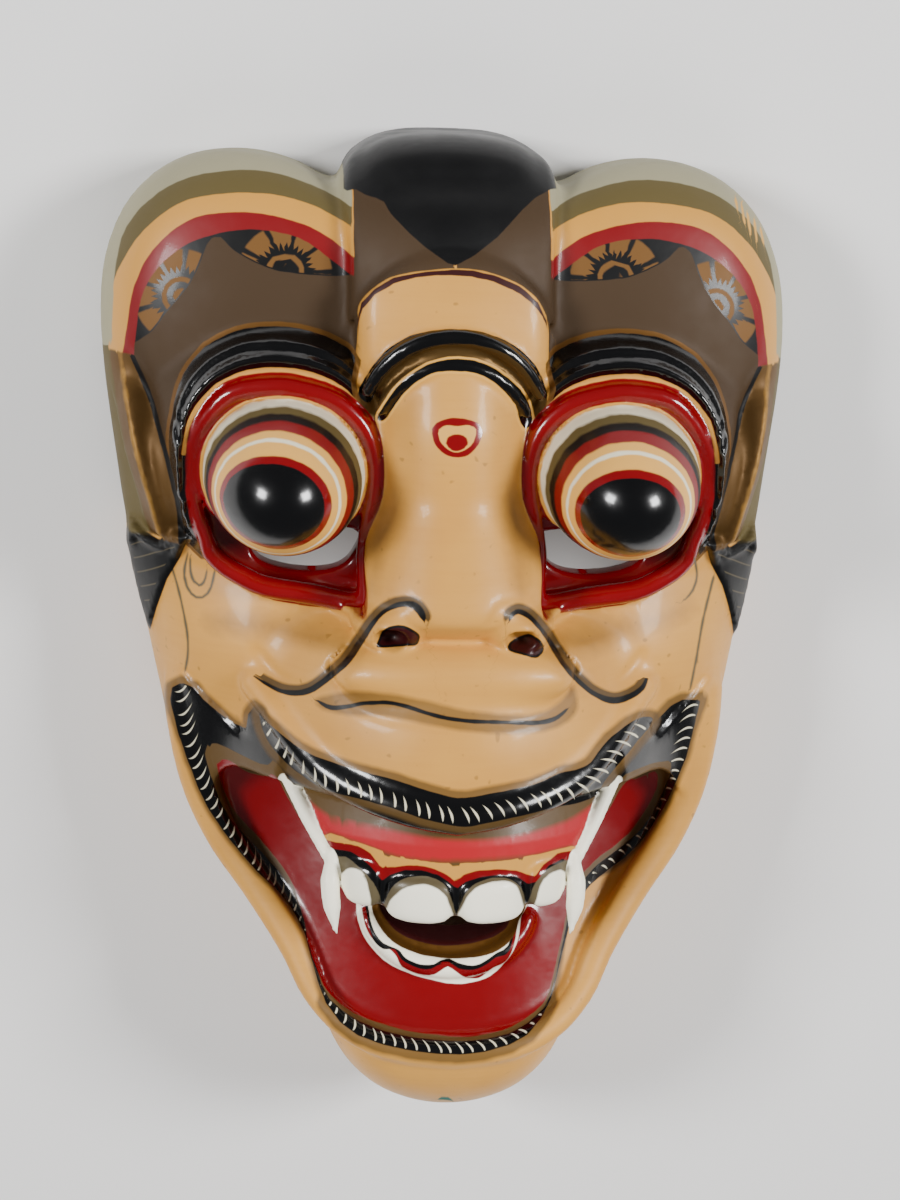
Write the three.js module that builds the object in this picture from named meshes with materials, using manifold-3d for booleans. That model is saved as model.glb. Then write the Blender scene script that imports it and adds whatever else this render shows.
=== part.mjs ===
import * as THREE from 'three';
import { mergeVertices } from 'three/addons/utils/BufferGeometryUtils.js';
import Module from 'manifold-3d';

// A carved wooden barong mask, lying face up on its flat rim.
// Millimetres. +X to the right seen from the front, +Y to the crown, +Z out of the face.
// The carving is the same on both sides of the face, apart from the lean of a hand-carved block.

const wasm = await Module();
wasm.setup();

// The block.
const OUTLINE = [ // right half of the widest section, from the crown round to the chin
  [0, 144], [10, 143.5], [19, 141.5], [26, 137], [30, 131], [34, 131], [41, 134.5], [50, 137],
  [60, 137.5], [71, 135.5], [81, 130], [89, 121], [94.3, 108], [96, 94], [95.6, 78], [94, 60],
  [92, 42], [89.5, 25], [87, 9], [84.5, -5], [82, -18], [79.5, -30], [76.5, -42], [72.5, -54],
  [66.5, -65], [58, -76], [49, -86], [42, -95], [38, -104], [34.5, -113], [30, -122.5],
  [23, -132], [14, -138.5], [6, -141.5], [0, -142],
];
const LEAN = 0.0215; // how far the lower face runs off to one side, per millimetre down
const LEAN_FROM = 100; // height on the face where the lean starts
const RIM_WIDTH = 9; // flat back rim
const WALL = 9; // wood between the hollow and the face
const EDGE_ROUND = 17; // rounding from the side wall into the face
const SIDE_FLARE = 2.5; // the side wall leans out from the rim by this much
const SIDE_FLARE_HEIGHT = 12;
const CHIN_FLARE = 9; // the chin hangs out further, over a taller wall
const CHIN_FLARE_HEIGHT = 36;
const CHIN_HALF_ANGLE = 0.42; // radians either side of straight down
const HOLLOW_NOSE = { // room for the wearer's nose
  y: 10, top: 66, fallSide: 30, fallEnd: 34, halfWidth: 26, halfLength: 40,
};

// Heights of the carved masses above the rim.
const SHELL_TOP = 58;
const SHELL_FALL_SIDE = 24;
const SHELL_FALL_END = 10;
const CHEEK = { x: 55, y: 3, rise: 8, spread: 22 };
const LOBE = { x: 55, y: 88, top: 53, fallSide: 15, fallEnd: 13, halfWidth: 42, halfLength: 50 };
const MUZZLE = { y: -20, top: 92, fallSide: 35, fallEnd: 11, halfWidth: 56, halfLength: 30, fade: 8 };
const CUSHION = { y: 4.5, base: 76, rise: 11.5, halfWidth: 33, halfLength: 10 };
const NOSE_WING = { x: 16.5, y: 17.5, base: 66, rise: 19, halfWidth: 11, halfLength: 9.5 };
const BRIDGE = [ // up, out: from the forehead down the nose and under its tip
  [100, 66], [86, 70.5], [70, 75], [58, 75.6], [49, 76.2], [37, 81.5], [27, 86], [21.5, 86.6],
  [18, 83.5], [13, 77], [8, 73],
];
const BRIDGE_HALF_WIDTH = 19;
const NOSE_WIDENS = { from: 54, to: 24, by: 6 }; // the bridge is wider down at the tip
const CHIN = {
  y: -107, top: 73, fallSide: 11, fallEnd: 33, halfWidth: 36, halfLength: 38, fade: 60, fadeOver: 12,
};

// Crown and forehead.
const COLUMN_HALF_WIDTH = 27;
const COLUMN_TOP = 63;
const COLUMN_FALL_SIDE = 6;
const CROWN_START = 102; // where the crown begins to round over
const CROWN_EDGE = { y: 144, drop: 8.5 }; // the crown's own outline, and how much lower its corners are
const CAP_EDGE_ARCH = { y: 111, drop: 15 };
const CAP_STEP = 3; // the forehead lies this far under the cap's edge
const WRINKLES = [{ y: 69.5, radius: 24.5, half: 2 }, { y: 65.5, radius: 21, half: 1.8 }];
const WRINKLE_END = 1.18; // radians either side of straight up
const WRINKLE_RISE = 1.6;

// Eyes.
const EYE = { x: 45, y: 56, z: 60, halfWidth: 21.5, halfHeight: 20.5, reach: 36, root: 15 };
const EYE_GAZE_DROP = 2.5; // the eyeball's tip sits lower than its middle
const LID_GAP = 2.2; // from the eyeball to the middle of the lid's bar
const LID_HALF = 3; // half the thickness of the upper lid
const LID_SIDE_HALF = 2.3;
const LID_HEIGHT = 61;
const LID_LOWER = { drop: 33.5, corner: 20.5, cornerDrop: 36.5, half: 3.2 };
const SOCKET_FLOOR = 47;
const BACK_OF_EYE = { from: 42, to: 62, rise: 20 }; // how the hollow's roof goes up again around each eye
const SLIT = { width: 29, height: 12.5, inner: 19, top: 18.5 }; // the wearer's view, under the eyeball
const BROW = { gap: 6.6, half: 5.2, rise: 62.5 };
const EYE_MOUND = { top: 61, fall: 26, from: 25, to: 50 };

// Mouth.
const MOUTH = [ // right half of the open mouth inside the lips
  [0, -30], [30, -30], [50, -30], [60, -31], [65, -36], [65.5, -44], [61, -55], [53, -66],
  [45, -76], [39.5, -87], [35.5, -96], [27, -101.5], [16, -104.5], [0, -105.5],
];
const FLOOR = { y: -104, top: 67, fallSide: 5, halfWidth: 29, slope: 0.3, least: 36, round: 8 };
const JAW_BLOCK = [ // right half of the upper jaw, from the lip down to the teeth
  [0, -20], [50, -12], [48.5, -22], [41, -35], [34, -47], [31, -57], [20, -59.5], [0, -61],
];
const JAW_TOP = 88.5;
const JAW_FALL = 12.5; // from the middle tooth back to the tusks
const JAW_FALL_SPAN = 34; // the distance across over which it falls
const JAW_RISE_LINE = { y: -40, slope: 0.35 }; // above this line the gum runs back under the lip
const LIP_BAND = [ // middle line of the hairy upper lip: across, up, out
  [54, -4, 58.5], [47, -11, 66.5], [41, -17, 73], [33, -23, 80], [22, -27, 86.5],
  [11, -29.5, 90.5], [0, -31, 92],
];
const LIP_BAND_HALF = 3.4;
const JAW_BAND = [
  [73, -11, 38], [73, -25, 38], [70.5, -40, 39.5], [64, -55, 42.5], [54, -69, 48], [44.5, -83, 55],
  [38, -95, 61], [29, -103.5, 66.5], [17, -108, 70.5], [0, -109.5, 72],
];
const JAW_BAND_HALVES = [7, 5.4, 4.6, 3.8, 3.2];
const TOOTH = { rows: [[9.9, -55.6, 9.3, 6.6], [25.2, -53, 5.2, 6.4]], half: 4 };
const FANG = [[33.4, -47, 76.5], [33.6, -57, 79.5], [32.2, -68, 81]];
const FANG_HALVES = [2.2, 2.4, 0.8];
const TUSK = [[49.5, -21, 62], [42, -34, 69], [34.5, -48, 75.5]];
const TUSK_HALVES = [1.2, 2.1, 1.6];
const THROAT = { y: -70.5, halfWidth: 19.5, halfHeight: 10, top: 82 };
const LOWER_GUM = { y: -71, halfWidth: 23.5, halfHeight: 15.5, half: 3.4 };
const NOSTRIL = { x: 17.3, y: 15.5, z: 84, halfWidth: 4.6, halfHeight: 3.4, depth: 8 };

// Ears.
const EAR = [[89, 84, 31], [88.5, 67, 33], [86, 50, 33], [84.5, 35, 29]];
const EAR_HALF = [2, 8, 9, 5];
const EAR_THICKNESS = 0.5; // as a share of its width
const EAR_TURN = 0.75; // radians, from facing front towards facing sideways
const LOCK = [[83, 34, 29], [85, 24, 24], [87, 10, 17], [86.5, 1, 12]];
const LOCK_HALF = [8, 6, 3, 0.8];

// Fineness of the facets.
const BODY_RINGS = 14;
const BODY_SECTORS = 60;
const HOLLOW_RINGS = 6;
const HOLLOW_SECTORS = 30;
const BAR_SIDES = 5;
const ABOVE_ALL = 130; // cuts from the front start this high
const BELOW_RIM = -1; // cuts right through end this low

const WOOD = new THREE.MeshStandardMaterial({
  name: 'painted_wood', color: 0xd8b071, roughness: 0.42, metalness: 0.05,
});

const smoothMax = (a, b, round) => {
  const near = Math.max(round - Math.abs(a - b), 0) / round;
  return Math.max(a, b) + near * near * round / 4;
};
const smoothMin = (a, b, round) => -smoothMax(-a, -b, round);
const smoothStep = (from, to, value) => {
  const t = Math.min(Math.max((value - from) / (to - from), 0), 1);
  return t * t * (3 - 2 * t);
};
const square = (value) => value * value;
const dome = (m, across, along) => {
  const inside = 1 - square(across / m.halfWidth) - square(along / m.halfLength);
  return inside > 0 ? m.base + m.rise * Math.sqrt(inside) : -Infinity;
};
const saddle = (m, across, along) =>
  m.top - m.fallSide * square(across / m.halfWidth) - m.fallEnd * square(along / m.halfLength);

const bridgeLine = new THREE.SplineCurve([...BRIDGE].reverse().map(([y, z]) => new THREE.Vector2(y, z)));
const bridgeTable = bridgeLine.getPoints(60);
const bridgeHeight = (y) => {
  const after = bridgeTable.findIndex((p) => p.x >= y);
  if (after <= 0) return after === 0 ? bridgeTable[0].y : bridgeTable.at(-1).y;
  const [p, q] = [bridgeTable[after - 1], bridgeTable[after]];
  return p.y + (q.y - p.y) * (y - p.x) / (q.x - p.x);
};

// The smooth masses of the carved face: how high the wood stands at a place on the front.
function shellHeight(across, y) {
  const fall = SHELL_FALL_SIDE * (across / 90) ** 2.2 + SHELL_FALL_END * square((y - 5) / 140);
  const fromCheek = Math.hypot(across - CHEEK.x, y - CHEEK.y) / CHEEK.spread;
  const cheek = CHEEK.rise * Math.exp(-square(fromCheek));
  return smoothMax(SHELL_TOP - fall + cheek, saddle(LOBE, across - LOBE.x, y - LOBE.y), 8);
}

function faceHeight(x, y) {
  const across = Math.abs(x);
  const fromEye = Math.hypot(across - EYE.x, y - EYE.y - 3);
  let height = shellHeight(across, y);
  const mound = EYE_MOUND.top - EYE_MOUND.fall * smoothStep(EYE_MOUND.from, EYE_MOUND.to, fromEye);
  height = smoothMax(height, mound, 4);
  const muzzle = saddle(MUZZLE, across, y - MUZZLE.y) - square(Math.max(y - MUZZLE.fade, 0) / 3);
  height = smoothMax(height, muzzle, 6);
  const jawFade = square(Math.max(y + CHIN.fade, 0) / CHIN.fadeOver);
  height = smoothMax(height, saddle(CHIN, across, Math.min(y - CHIN.y, 0)) - jawFade, 5);
  const [from, to] = [BRIDGE.at(-1)[0], BRIDGE[0][0]];
  const beyond = Math.max(from - y, (y - to) / 3, 0);
  const widening = NOSE_WIDENS.by * (1 - smoothStep(NOSE_WIDENS.to, NOSE_WIDENS.from, y));
  const ridge = bridgeHeight(y) - 14 * (across / (BRIDGE_HALF_WIDTH + widening)) ** 2.5 - square(beyond);
  height = smoothMax(height, ridge, 5);
  height = smoothMax(height, dome(NOSE_WING, across - NOSE_WING.x, y - NOSE_WING.y), 3);
  return smoothMax(height, dome(CUSHION, across, y - CUSHION.y), 3);
}

// The widest section's outline as a distance from the middle, for each direction.
const leftOutline = OUTLINE.slice(1, -1).reverse().map(([x, y]) => [-x, y]);
const outlineCurve = new THREE.CatmullRomCurve3(
  [...OUTLINE, ...leftOutline].map(([x, y]) => new THREE.Vector3(x, y, 0)), true, 'centripetal',
);
const outlinePoints = outlineCurve.getPoints(720);
const outlineTable = new Float64Array(720);
{
  const ends = outlinePoints.map((p) => ({ angle: Math.atan2(p.y, p.x), reach: Math.hypot(p.x, p.y) }));
  for (let i = 0; i < outlineTable.length; i += 1) {
    const angle = (i / outlineTable.length) * 2 * Math.PI - Math.PI;
    for (let k = 1; k < ends.length; k += 1) {
      let a = ends[k - 1].angle - angle;
      let b = ends[k].angle - angle;
      a -= Math.round(a / (2 * Math.PI)) * 2 * Math.PI;
      b -= Math.round(b / (2 * Math.PI)) * 2 * Math.PI;
      if (a * b <= 0 && Math.abs(a - b) < 1 && a !== b) {
        outlineTable[i] = ends[k - 1].reach + (ends[k].reach - ends[k - 1].reach) * a / (a - b);
        break;
      }
    }
  }
}
const outlineAngles = (count) =>
  outlineCurve.getSpacedPoints(count).slice(0, count).map((p) => Math.atan2(p.y, p.x));
function outlineReach(angle) {
  const at = ((angle + Math.PI) / (2 * Math.PI)) * outlineTable.length;
  const low = Math.floor(at);
  const share = at - low;
  const size = outlineTable.length;
  return outlineTable[low % size] * (1 - share) + outlineTable[(low + 1) % size] * share;
}
function wallReach(angle, z) {
  const fromDown = Math.abs(Math.atan2(Math.sin(angle + Math.PI / 2), Math.cos(angle + Math.PI / 2)));
  const chin = 1 - smoothStep(CHIN_HALF_ANGLE * 0.5, CHIN_HALF_ANGLE * 1.5, fromDown);
  const flare = SIDE_FLARE + (CHIN_FLARE - SIDE_FLARE) * chin;
  const height = SIDE_FLARE_HEIGHT + (CHIN_FLARE_HEIGHT - SIDE_FLARE_HEIGHT) * chin;
  const low = Math.max(1 - Math.max(z, 0) / height, 0);
  return outlineReach(angle) - flare * low * low;
}

function floorHeight(x, y) {
  const sloped = FLOOR.top - FLOOR.fallSide * square(x / FLOOR.halfWidth) - FLOOR.slope * (y - FLOOR.y);
  return smoothMax(sloped, FLOOR.least, FLOOR.round);
}

// Negative inside the outer body, and inside the hollow behind it.
const bodyField = (x, y, z) =>
  smoothMax(z - faceHeight(x, y), Math.hypot(x, y) - wallReach(Math.atan2(y, x), z), EDGE_ROUND);
function hollowField(x, y, z) {
  const fromEye = Math.hypot(Math.abs(x) - EYE.x, y - EYE.y);
  const underEye = SOCKET_FLOOR + BACK_OF_EYE.rise * smoothStep(BACK_OF_EYE.from, BACK_OF_EYE.to, fromEye);
  const underMouth = floorHeight(x, y) + 40 * smoothStep(MOUTH[0][1] - 2, MOUTH[0][1] + 22, y);
  const ceiling = smoothMin(smoothMin(shellHeight(Math.abs(x), y), underEye, 8), underMouth, 6) - WALL;
  const roof = smoothMax(ceiling, saddle(HOLLOW_NOSE, x, y - HOLLOW_NOSE.y), 10);
  return smoothMax(z - roof, Math.hypot(x, y) - wallReach(Math.atan2(y, x), 0) + RIM_WIDTH, EDGE_ROUND);
}

// Turns a closed geometry into a solid, with its faces turned outwards.
function solidOf(geometry) {
  const plain = geometry.index ? geometry.toNonIndexed() : geometry;
  const bare = new THREE.BufferGeometry();
  bare.setAttribute('position', plain.getAttribute('position'));
  const merged = mergeVertices(bare, 1e-4);
  const points = new Float32Array(merged.getAttribute('position').array);
  const at = (i) => new THREE.Vector3().fromArray(points, i * 3);
  const index = merged.index.array;
  const corners = [];
  let volume = 0;
  for (let i = 0; i < index.length; i += 3) {
    const [a, b, c] = [index[i], index[i + 1], index[i + 2]];
    if (a === b || b === c || c === a) continue;
    corners.push(a, b, c);
    volume += at(a).dot(at(b).cross(at(c)));
  }
  if (volume < 0) corners.reverse();
  const triVerts = new Uint32Array(corners);
  return new wasm.Manifold(new wasm.Mesh({ numProp: 3, vertProperties: points, triVerts }));
}

function reshaped(geometry, move) {
  const position = geometry.getAttribute('position');
  const point = new THREE.Vector3();
  for (let i = 0; i < position.count; i += 1) {
    point.fromBufferAttribute(position, i);
    move(point);
    position.setXYZ(i, point.x, point.y, point.z);
  }
  return geometry;
}

// A half sphere whose points are pushed out to where a field is zero, closed flat below.
function domedSolid(field, rings, sectors, bottom) {
  const half = new THREE.SphereGeometry(1, sectors, rings * 2);
  const angles = outlineAngles(sectors);
  reshaped(half, (p) => {
    const dz = p.y;
    const turn = angles[Math.round((Math.atan2(p.z, p.x) / (2 * Math.PI) + 1) * sectors) % sectors];
    const level = Math.sqrt(Math.max(1 - dz * dz, 0));
    const [dx, dy] = [level * Math.cos(turn), level * Math.sin(turn)];
    if (dz < -0.5 / rings) {
      p.set(0, 0, bottom);
      return;
    }
    let [near, far] = [0, 260];
    for (let step = 0; step < 40; step += 1) {
      const middle = (near + far) / 2;
      const inside = field(dx * middle, dy * middle, Math.max(dz * middle, 0)) < 0;
      [near, far] = inside ? [middle, far] : [near, middle];
    }
    p.set(dx * near, dy * near, dz < 0.5 / rings ? bottom : dz * near);
  });
  return solidOf(half);
}

// A block over a closed outline in the plane of the rim. One face is flat, and the other follows
// a function of the place, with rings of points between the outline and its middle.
function patch(outline, flat, height, { rings = 1, pieces = 2, middle = [0, 0] } = {}) {
  const corners = outline.map(([x, y]) => new THREE.Vector3(x, y, 0));
  const curve = new THREE.CatmullRomCurve3(corners, true, 'centripetal');
  const edge = curve.getPoints(outline.length * pieces).slice(0, -1);
  const top = typeof height === 'function' ? height : () => height;
  const spread = (share) => 1 - (1 - share) ** 1.4;
  const ball = new THREE.SphereGeometry(1, edge.length, rings + 2);
  return solidOf(reshaped(ball, (p) => {
    const ring = Math.round((Math.acos(Math.min(Math.max(p.y, -1), 1)) / Math.PI) * (rings + 2));
    const turn = Math.atan2(p.z, -p.x) / (2 * Math.PI);
    const at = edge[Math.round((turn + 1) * edge.length) % edge.length];
    const share = ring > rings + 1 ? 0 : spread(Math.min(ring / rings, 1));
    const x = middle[0] + (at.x - middle[0]) * share;
    const y = middle[1] + (at.y - middle[1]) * share;
    p.set(x, y, ring > rings ? flat : top(x, y));
  }));
}

// A block whose upper face is a grid over a four-sided place, with its height given by a function.
function gridBlock(columns, rows, flat, place, top) {
  return solidOf(reshaped(new THREE.BoxGeometry(2, 1, 1, columns, rows, 1), (p) => {
    const [x, y] = place(p.x, p.y + 0.5);
    p.set(x, y, p.z > 0 ? top(x, y) : flat);
  }));
}

// Completes the right half of an outline with its mirror image.
function bothSides(half) {
  const other = half.filter(([x]) => x > 0).reverse().map(([x, ...rest]) => [-x, ...rest]);
  return [...half, ...other];
}

// A rounded bar along a curve. Its half width varies, and its half height is a share of it.
function bar(points, halves, options = {}) {
  const { closed = false, segments = points.length * 3, flatness = 1, roll = 0 } = options;
  const through = points.map((p) => new THREE.Vector3(...p));
  const curve = new THREE.CatmullRomCurve3(through, closed, 'centripetal');
  const widths = [].concat(halves);
  const halfAt = (t) => {
    const at = t * (widths.length - 1);
    const low = Math.min(Math.floor(at), Math.max(widths.length - 2, 0));
    return widths.length === 1 ? widths[0] : widths[low] + (widths[low + 1] - widths[low]) * (at - low);
  };
  const out = new THREE.Vector3(0, 0, 1);
  const place = (t, aside, up) => {
    const tangent = curve.getTangentAt(t);
    const across = new THREE.Vector3().crossVectors(out, tangent).normalize();
    const lift = new THREE.Vector3().crossVectors(tangent, across);
    return curve.getPointAt(t).addScaledVector(across, aside).addScaledVector(lift, up);
  };
  const ring = (p, t) => {
    const [wide, high] = [p.x * halfAt(t), p.z * halfAt(t) * flatness];
    const [c, s] = [Math.cos(roll), Math.sin(roll)];
    p.copy(place(t, wide * c - high * s, wide * s + high * c));
  };
  if (closed) {
    const torus = new THREE.TorusGeometry(2, 1, BAR_SIDES, segments);
    return solidOf(reshaped(torus, (p) => {
      const angle = Math.atan2(p.y, p.x);
      const aside = Math.hypot(p.x, p.y) - 2;
      const t = (angle / (2 * Math.PI) + 1) % 1;
      ring(p.set(-aside, 0, p.z), t);
    }));
  }
  const rod = new THREE.CylinderGeometry(1, 1, 1, BAR_SIDES, segments);
  return solidOf(reshaped(rod, (p) => ring(p, p.y + 0.5)));
}

// The same carving on the other side of the face.
function mirror(solid) {
  const { vertProperties, triVerts } = solid.getMesh();
  const flipped = vertProperties.map((value, i) => (i % 3 === 0 ? -value : value));
  const turned = triVerts.slice().reverse();
  return new wasm.Manifold(new wasm.Mesh({ numProp: 3, vertProperties: flipped, triVerts: turned }));
}
const pair = (solid) => solid.add(mirror(solid));

// The crown: a raised column up the middle of the head, ending in an arched edge over the forehead.
function columnHeight(x, y) {
  const over = Math.max(y - CROWN_START, 0) / (OUTLINE[0][1] + 0.8 - CROWN_START);
  const rounded = Math.sqrt(Math.max(1 - over ** 2.6, 0.003));
  return (COLUMN_TOP - COLUMN_FALL_SIDE * square(x / COLUMN_HALF_WIDTH)) * rounded;
}
const archY = (arch, x) => arch.y - arch.drop * Math.abs(x / COLUMN_HALF_WIDTH) ** 2.5;
function crownColumn() {
  return gridBlock(8, 8, 0.2, (s, t) => {
    const x = COLUMN_HALF_WIDTH * s;
    const [low, high] = [archY(CAP_EDGE_ARCH, x), archY(CROWN_EDGE, x)];
    return [x, low + (high - low) * (1 - (1 - t) ** 1.7)];
  }, columnHeight);
}
function foreheadHeight(x, y) {
  const swell = 1 - square((y - 90) / 34) - 0.35 * square(x / COLUMN_HALF_WIDTH);
  return COLUMN_TOP - CAP_STEP - 3 + 12 * swell;
}
function forehead() {
  return gridBlock(7, 7, 30, (s, t) => {
    const x = COLUMN_HALF_WIDTH * s * (0.55 + 0.4 * Math.min(t * 2, 1));
    const low = 60 + 14 * Math.abs(s) ** 1.5;
    return [x, low + (archY(CAP_EDGE_ARCH, x) + 0.5 - low) * t];
  }, foreheadHeight);
}
function wrinkle({ y, radius, half }) {
  const points = [];
  for (let i = -6; i <= 6; i += 1) {
    const angle = WRINKLE_END * i / 6;
    const [px, py] = [radius * Math.sin(angle), y + radius * Math.cos(angle)];
    points.push([px, py, foreheadHeight(px, py) + WRINKLE_RISE - half * 0.8]);
  }
  return bar(points, [half * 0.9, half, half, half, half * 0.9], { segments: 14 });
}

// One eye: the eyeball, the lid round it and the brow above.
function eyeball() {
  const ball = new THREE.SphereGeometry(1, 16, 10);
  return solidOf(reshaped(ball, (p) => {
    const forward = Math.max(p.z, 0);
    const drop = EYE_GAZE_DROP * forward;
    const depth = p.z > 0 ? EYE.reach : EYE.root;
    p.set(EYE.x + p.x * EYE.halfWidth, EYE.y + p.y * EYE.halfHeight - drop, EYE.z + p.z * depth);
  }));
}
function lidPath() {
  const reach = EYE.halfWidth + LID_GAP;
  const points = [];
  for (let i = 0; i <= 8; i += 1) {
    const angle = Math.PI * (1 - i / 8);
    const y = EYE.y + 1 + (EYE.halfHeight + LID_GAP + 1) * Math.sin(angle);
    points.push([EYE.x + reach * Math.cos(angle), y, LID_HEIGHT - 1.5 * (i / 8)]);
  }
  const low = EYE.y - LID_LOWER.drop;
  return [
    ...points,
    [EYE.x + reach - 1, EYE.y - 13, LID_HEIGHT - 3],
    [EYE.x + LID_LOWER.corner, low + 8.5, LID_HEIGHT - 6],
    [EYE.x + 12, low + 3, LID_HEIGHT - 4],
    [EYE.x - 3, low - 0.5, LID_HEIGHT - 2.5],
    [EYE.x - LID_LOWER.corner, EYE.y - LID_LOWER.cornerDrop, LID_HEIGHT - 2],
    [EYE.x - reach + 2, EYE.y - 24, LID_HEIGHT],
    [EYE.x - reach + 0.3, EYE.y - 10, LID_HEIGHT],
  ];
}
function lid() {
  const halves = [LID_SIDE_HALF, LID_HALF, LID_HALF, LID_HALF, LID_SIDE_HALF, LID_SIDE_HALF,
    LID_LOWER.half, LID_LOWER.half, LID_LOWER.half + 0.8, LID_SIDE_HALF, LID_SIDE_HALF];
  return bar(lidPath(), halves, { closed: true, segments: 26 });
}
function socket() {
  return patch(lidPath(), SOCKET_FLOOR, ABOVE_ALL, { middle: [EYE.x, EYE.y] });
}
function slit() {
  const west = EYE.x - SLIT.inner;
  const top = EYE.y - SLIT.top;
  const outline = [
    [west, top],
    [west + 0.5, top - SLIT.height + 1],
    [west + SLIT.width * 0.5, top - SLIT.height],
    [west + SLIT.width * 0.85, top - SLIT.height * 0.8],
    [west + SLIT.width, top - SLIT.height * 0.45],
    [west + SLIT.width * 0.9, top],
  ];
  return patch(outline, BELOW_RIM, ABOVE_ALL, { middle: [EYE.x - 4, top - SLIT.height / 2] });
}
function brow() {
  const reach = EYE.halfWidth + BROW.gap;
  const points = [];
  for (let i = 0; i <= 10; i += 1) {
    const angle = Math.PI * 0.84 - (Math.PI * 0.84 + 0.5) * i / 10;
    const side = Math.max(-Math.sin(angle), 0);
    const z = BROW.rise - 5 * (i / 10) ** 2 - 4 * side - BROW.half * 0.55;
    points.push([EYE.x + 1 + reach * Math.cos(angle), EYE.y + 3.5 + reach * Math.sin(angle), z]);
  }
  return bar(points, [3, BROW.half, BROW.half, BROW.half * 0.8, 3, 1.8], { segments: 18, flatness: 0.62 });
}

// The open mouth, its jaws, lips and teeth.
function mouthRecess() {
  return patch(bothSides(MOUTH), ABOVE_ALL, floorHeight, { rings: 4, pieces: 1, middle: [0, -62] });
}
function jawHeight(x, y) {
  const runBack = Math.max(y - JAW_RISE_LINE.y, 0) * JAW_RISE_LINE.slope;
  return JAW_TOP - JAW_FALL * square(x / JAW_FALL_SPAN) - runBack;
}
function jawBlock() {
  return patch(bothSides(JAW_BLOCK), 34, jawHeight, { rings: 4, middle: [0, -36] });
}
function tooth([x, y, halfWidth, halfHeight]) {
  const ball = new THREE.SphereGeometry(1, 10, 6);
  const squared = (value) => Math.sign(value) * Math.abs(value) ** 0.55;
  return solidOf(reshaped(ball, (p) => {
    const place = x + squared(p.x) * halfWidth;
    p.set(place, y + squared(p.y) * halfHeight, jawHeight(place, y) - 1.2 + squared(p.z) * TOOTH.half);
  }));
}
function throat() {
  const points = Array.from({ length: 20 }, (_, i) => {
    const angle = 2 * Math.PI * i / 20;
    return [THROAT.halfWidth * Math.sin(angle), THROAT.y + THROAT.halfHeight * Math.cos(angle)];
  });
  return patch(points, BELOW_RIM, THROAT.top, { pieces: 1, middle: [0, THROAT.y] });
}
function lowerGum() {
  const points = [];
  for (let i = 0; i <= 10; i += 1) {
    const angle = Math.PI * (0.08 + 0.84 * i / 10);
    const x = -LOWER_GUM.halfWidth * Math.cos(angle);
    const y = LOWER_GUM.y - LOWER_GUM.halfHeight * Math.sin(angle);
    points.push([x, y, floorHeight(x, y) + 0.8]);
  }
  return bar(points, [2.4, LOWER_GUM.half, LOWER_GUM.half, LOWER_GUM.half, 2.4], { segments: 14 });
}
function nostril() {
  const hole = new THREE.SphereGeometry(1, 8, 6);
  hole.scale(NOSTRIL.halfWidth, NOSTRIL.halfHeight, NOSTRIL.depth);
  return solidOf(hole.translate(NOSTRIL.x, NOSTRIL.y, NOSTRIL.z));
}

function lips() {
  const upper = bar(bothSides(LIP_BAND), LIP_BAND_HALF, { segments: 24, flatness: 0.75 });
  const halves = [...JAW_BAND_HALVES, ...JAW_BAND_HALVES.slice(0, -1).reverse()];
  return upper.add(bar(bothSides(JAW_BAND), halves, { segments: 30, flatness: 0.8 }));
}

function mask() {
  const outside = domedSolid(bodyField, BODY_RINGS, BODY_SECTORS, 0);
  const hollow = domedSolid(hollowField, HOLLOW_RINGS, HOLLOW_SECTORS, -0.5);
  return outside
    .subtract(mouthRecess())
    .add(crownColumn())
    .add(forehead())
    .add(wrinkle(WRINKLES[0]))
    .add(wrinkle(WRINKLES[1]))
    .add(pair(brow()))
    .subtract(pair(socket()))
    .subtract(pair(slit()))
    .add(pair(lid()))
    .add(pair(eyeball()))
    .add(jawBlock())
    .add(lips())
    .add(lowerGum())
    .add(pair(bar(TUSK, TUSK_HALVES)))
    .add(pair(bar(FANG, FANG_HALVES)))
    .add(pair(tooth(TOOTH.rows[0])))
    .add(pair(tooth(TOOTH.rows[1])))
    .add(pair(bar(EAR, EAR_HALF, { flatness: EAR_THICKNESS, roll: -EAR_TURN })))
    .add(pair(bar(LOCK, LOCK_HALF, { flatness: EAR_THICKNESS, roll: -EAR_TURN })))
    .subtract(pair(nostril()))
    .subtract(throat())
    .subtract(hollow);
}

// The cuts can leave crumbs finer than dust, so only the largest connected surface is kept.
function largestSurface({ vertProperties, triVerts }) {
  const parent = Array.from({ length: vertProperties.length / 3 }, (_, i) => i);
  const root = (i) => {
    let at = i;
    while (parent[at] !== at) {
      parent[at] = parent[parent[at]];
      at = parent[at];
    }
    return at;
  };
  for (let i = 0; i < triVerts.length; i += 3) {
    parent[root(triVerts[i])] = root(triVerts[i + 1]);
    parent[root(triVerts[i + 1])] = root(triVerts[i + 2]);
  }
  const sizes = new Map();
  triVerts.forEach((i) => sizes.set(root(i), (sizes.get(root(i)) ?? 0) + 1));
  const [largest] = [...sizes].sort((a, b) => b[1] - a[1])[0];
  return triVerts.filter((i) => root(i) === largest);
}

// The lean is a shear across the face, so the rim stays flat.
function leaned(solid) {
  const mesh = solid.getMesh();
  const points = mesh.vertProperties;
  const corners = largestSurface(mesh);
  for (let i = 0; i < points.length; i += 3) {
    points[i] += LEAN * (LEAN_FROM - points[i + 1]);
  }
  const geometry = new THREE.BufferGeometry();
  geometry.setAttribute('position', new THREE.BufferAttribute(points, 3));
  geometry.setIndex(new THREE.BufferAttribute(corners, 1));
  geometry.computeBoundingBox();
  const middle = geometry.boundingBox.getCenter(new THREE.Vector3());
  return geometry.translate(-middle.x, -middle.y, -geometry.boundingBox.min.z);
}

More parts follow.
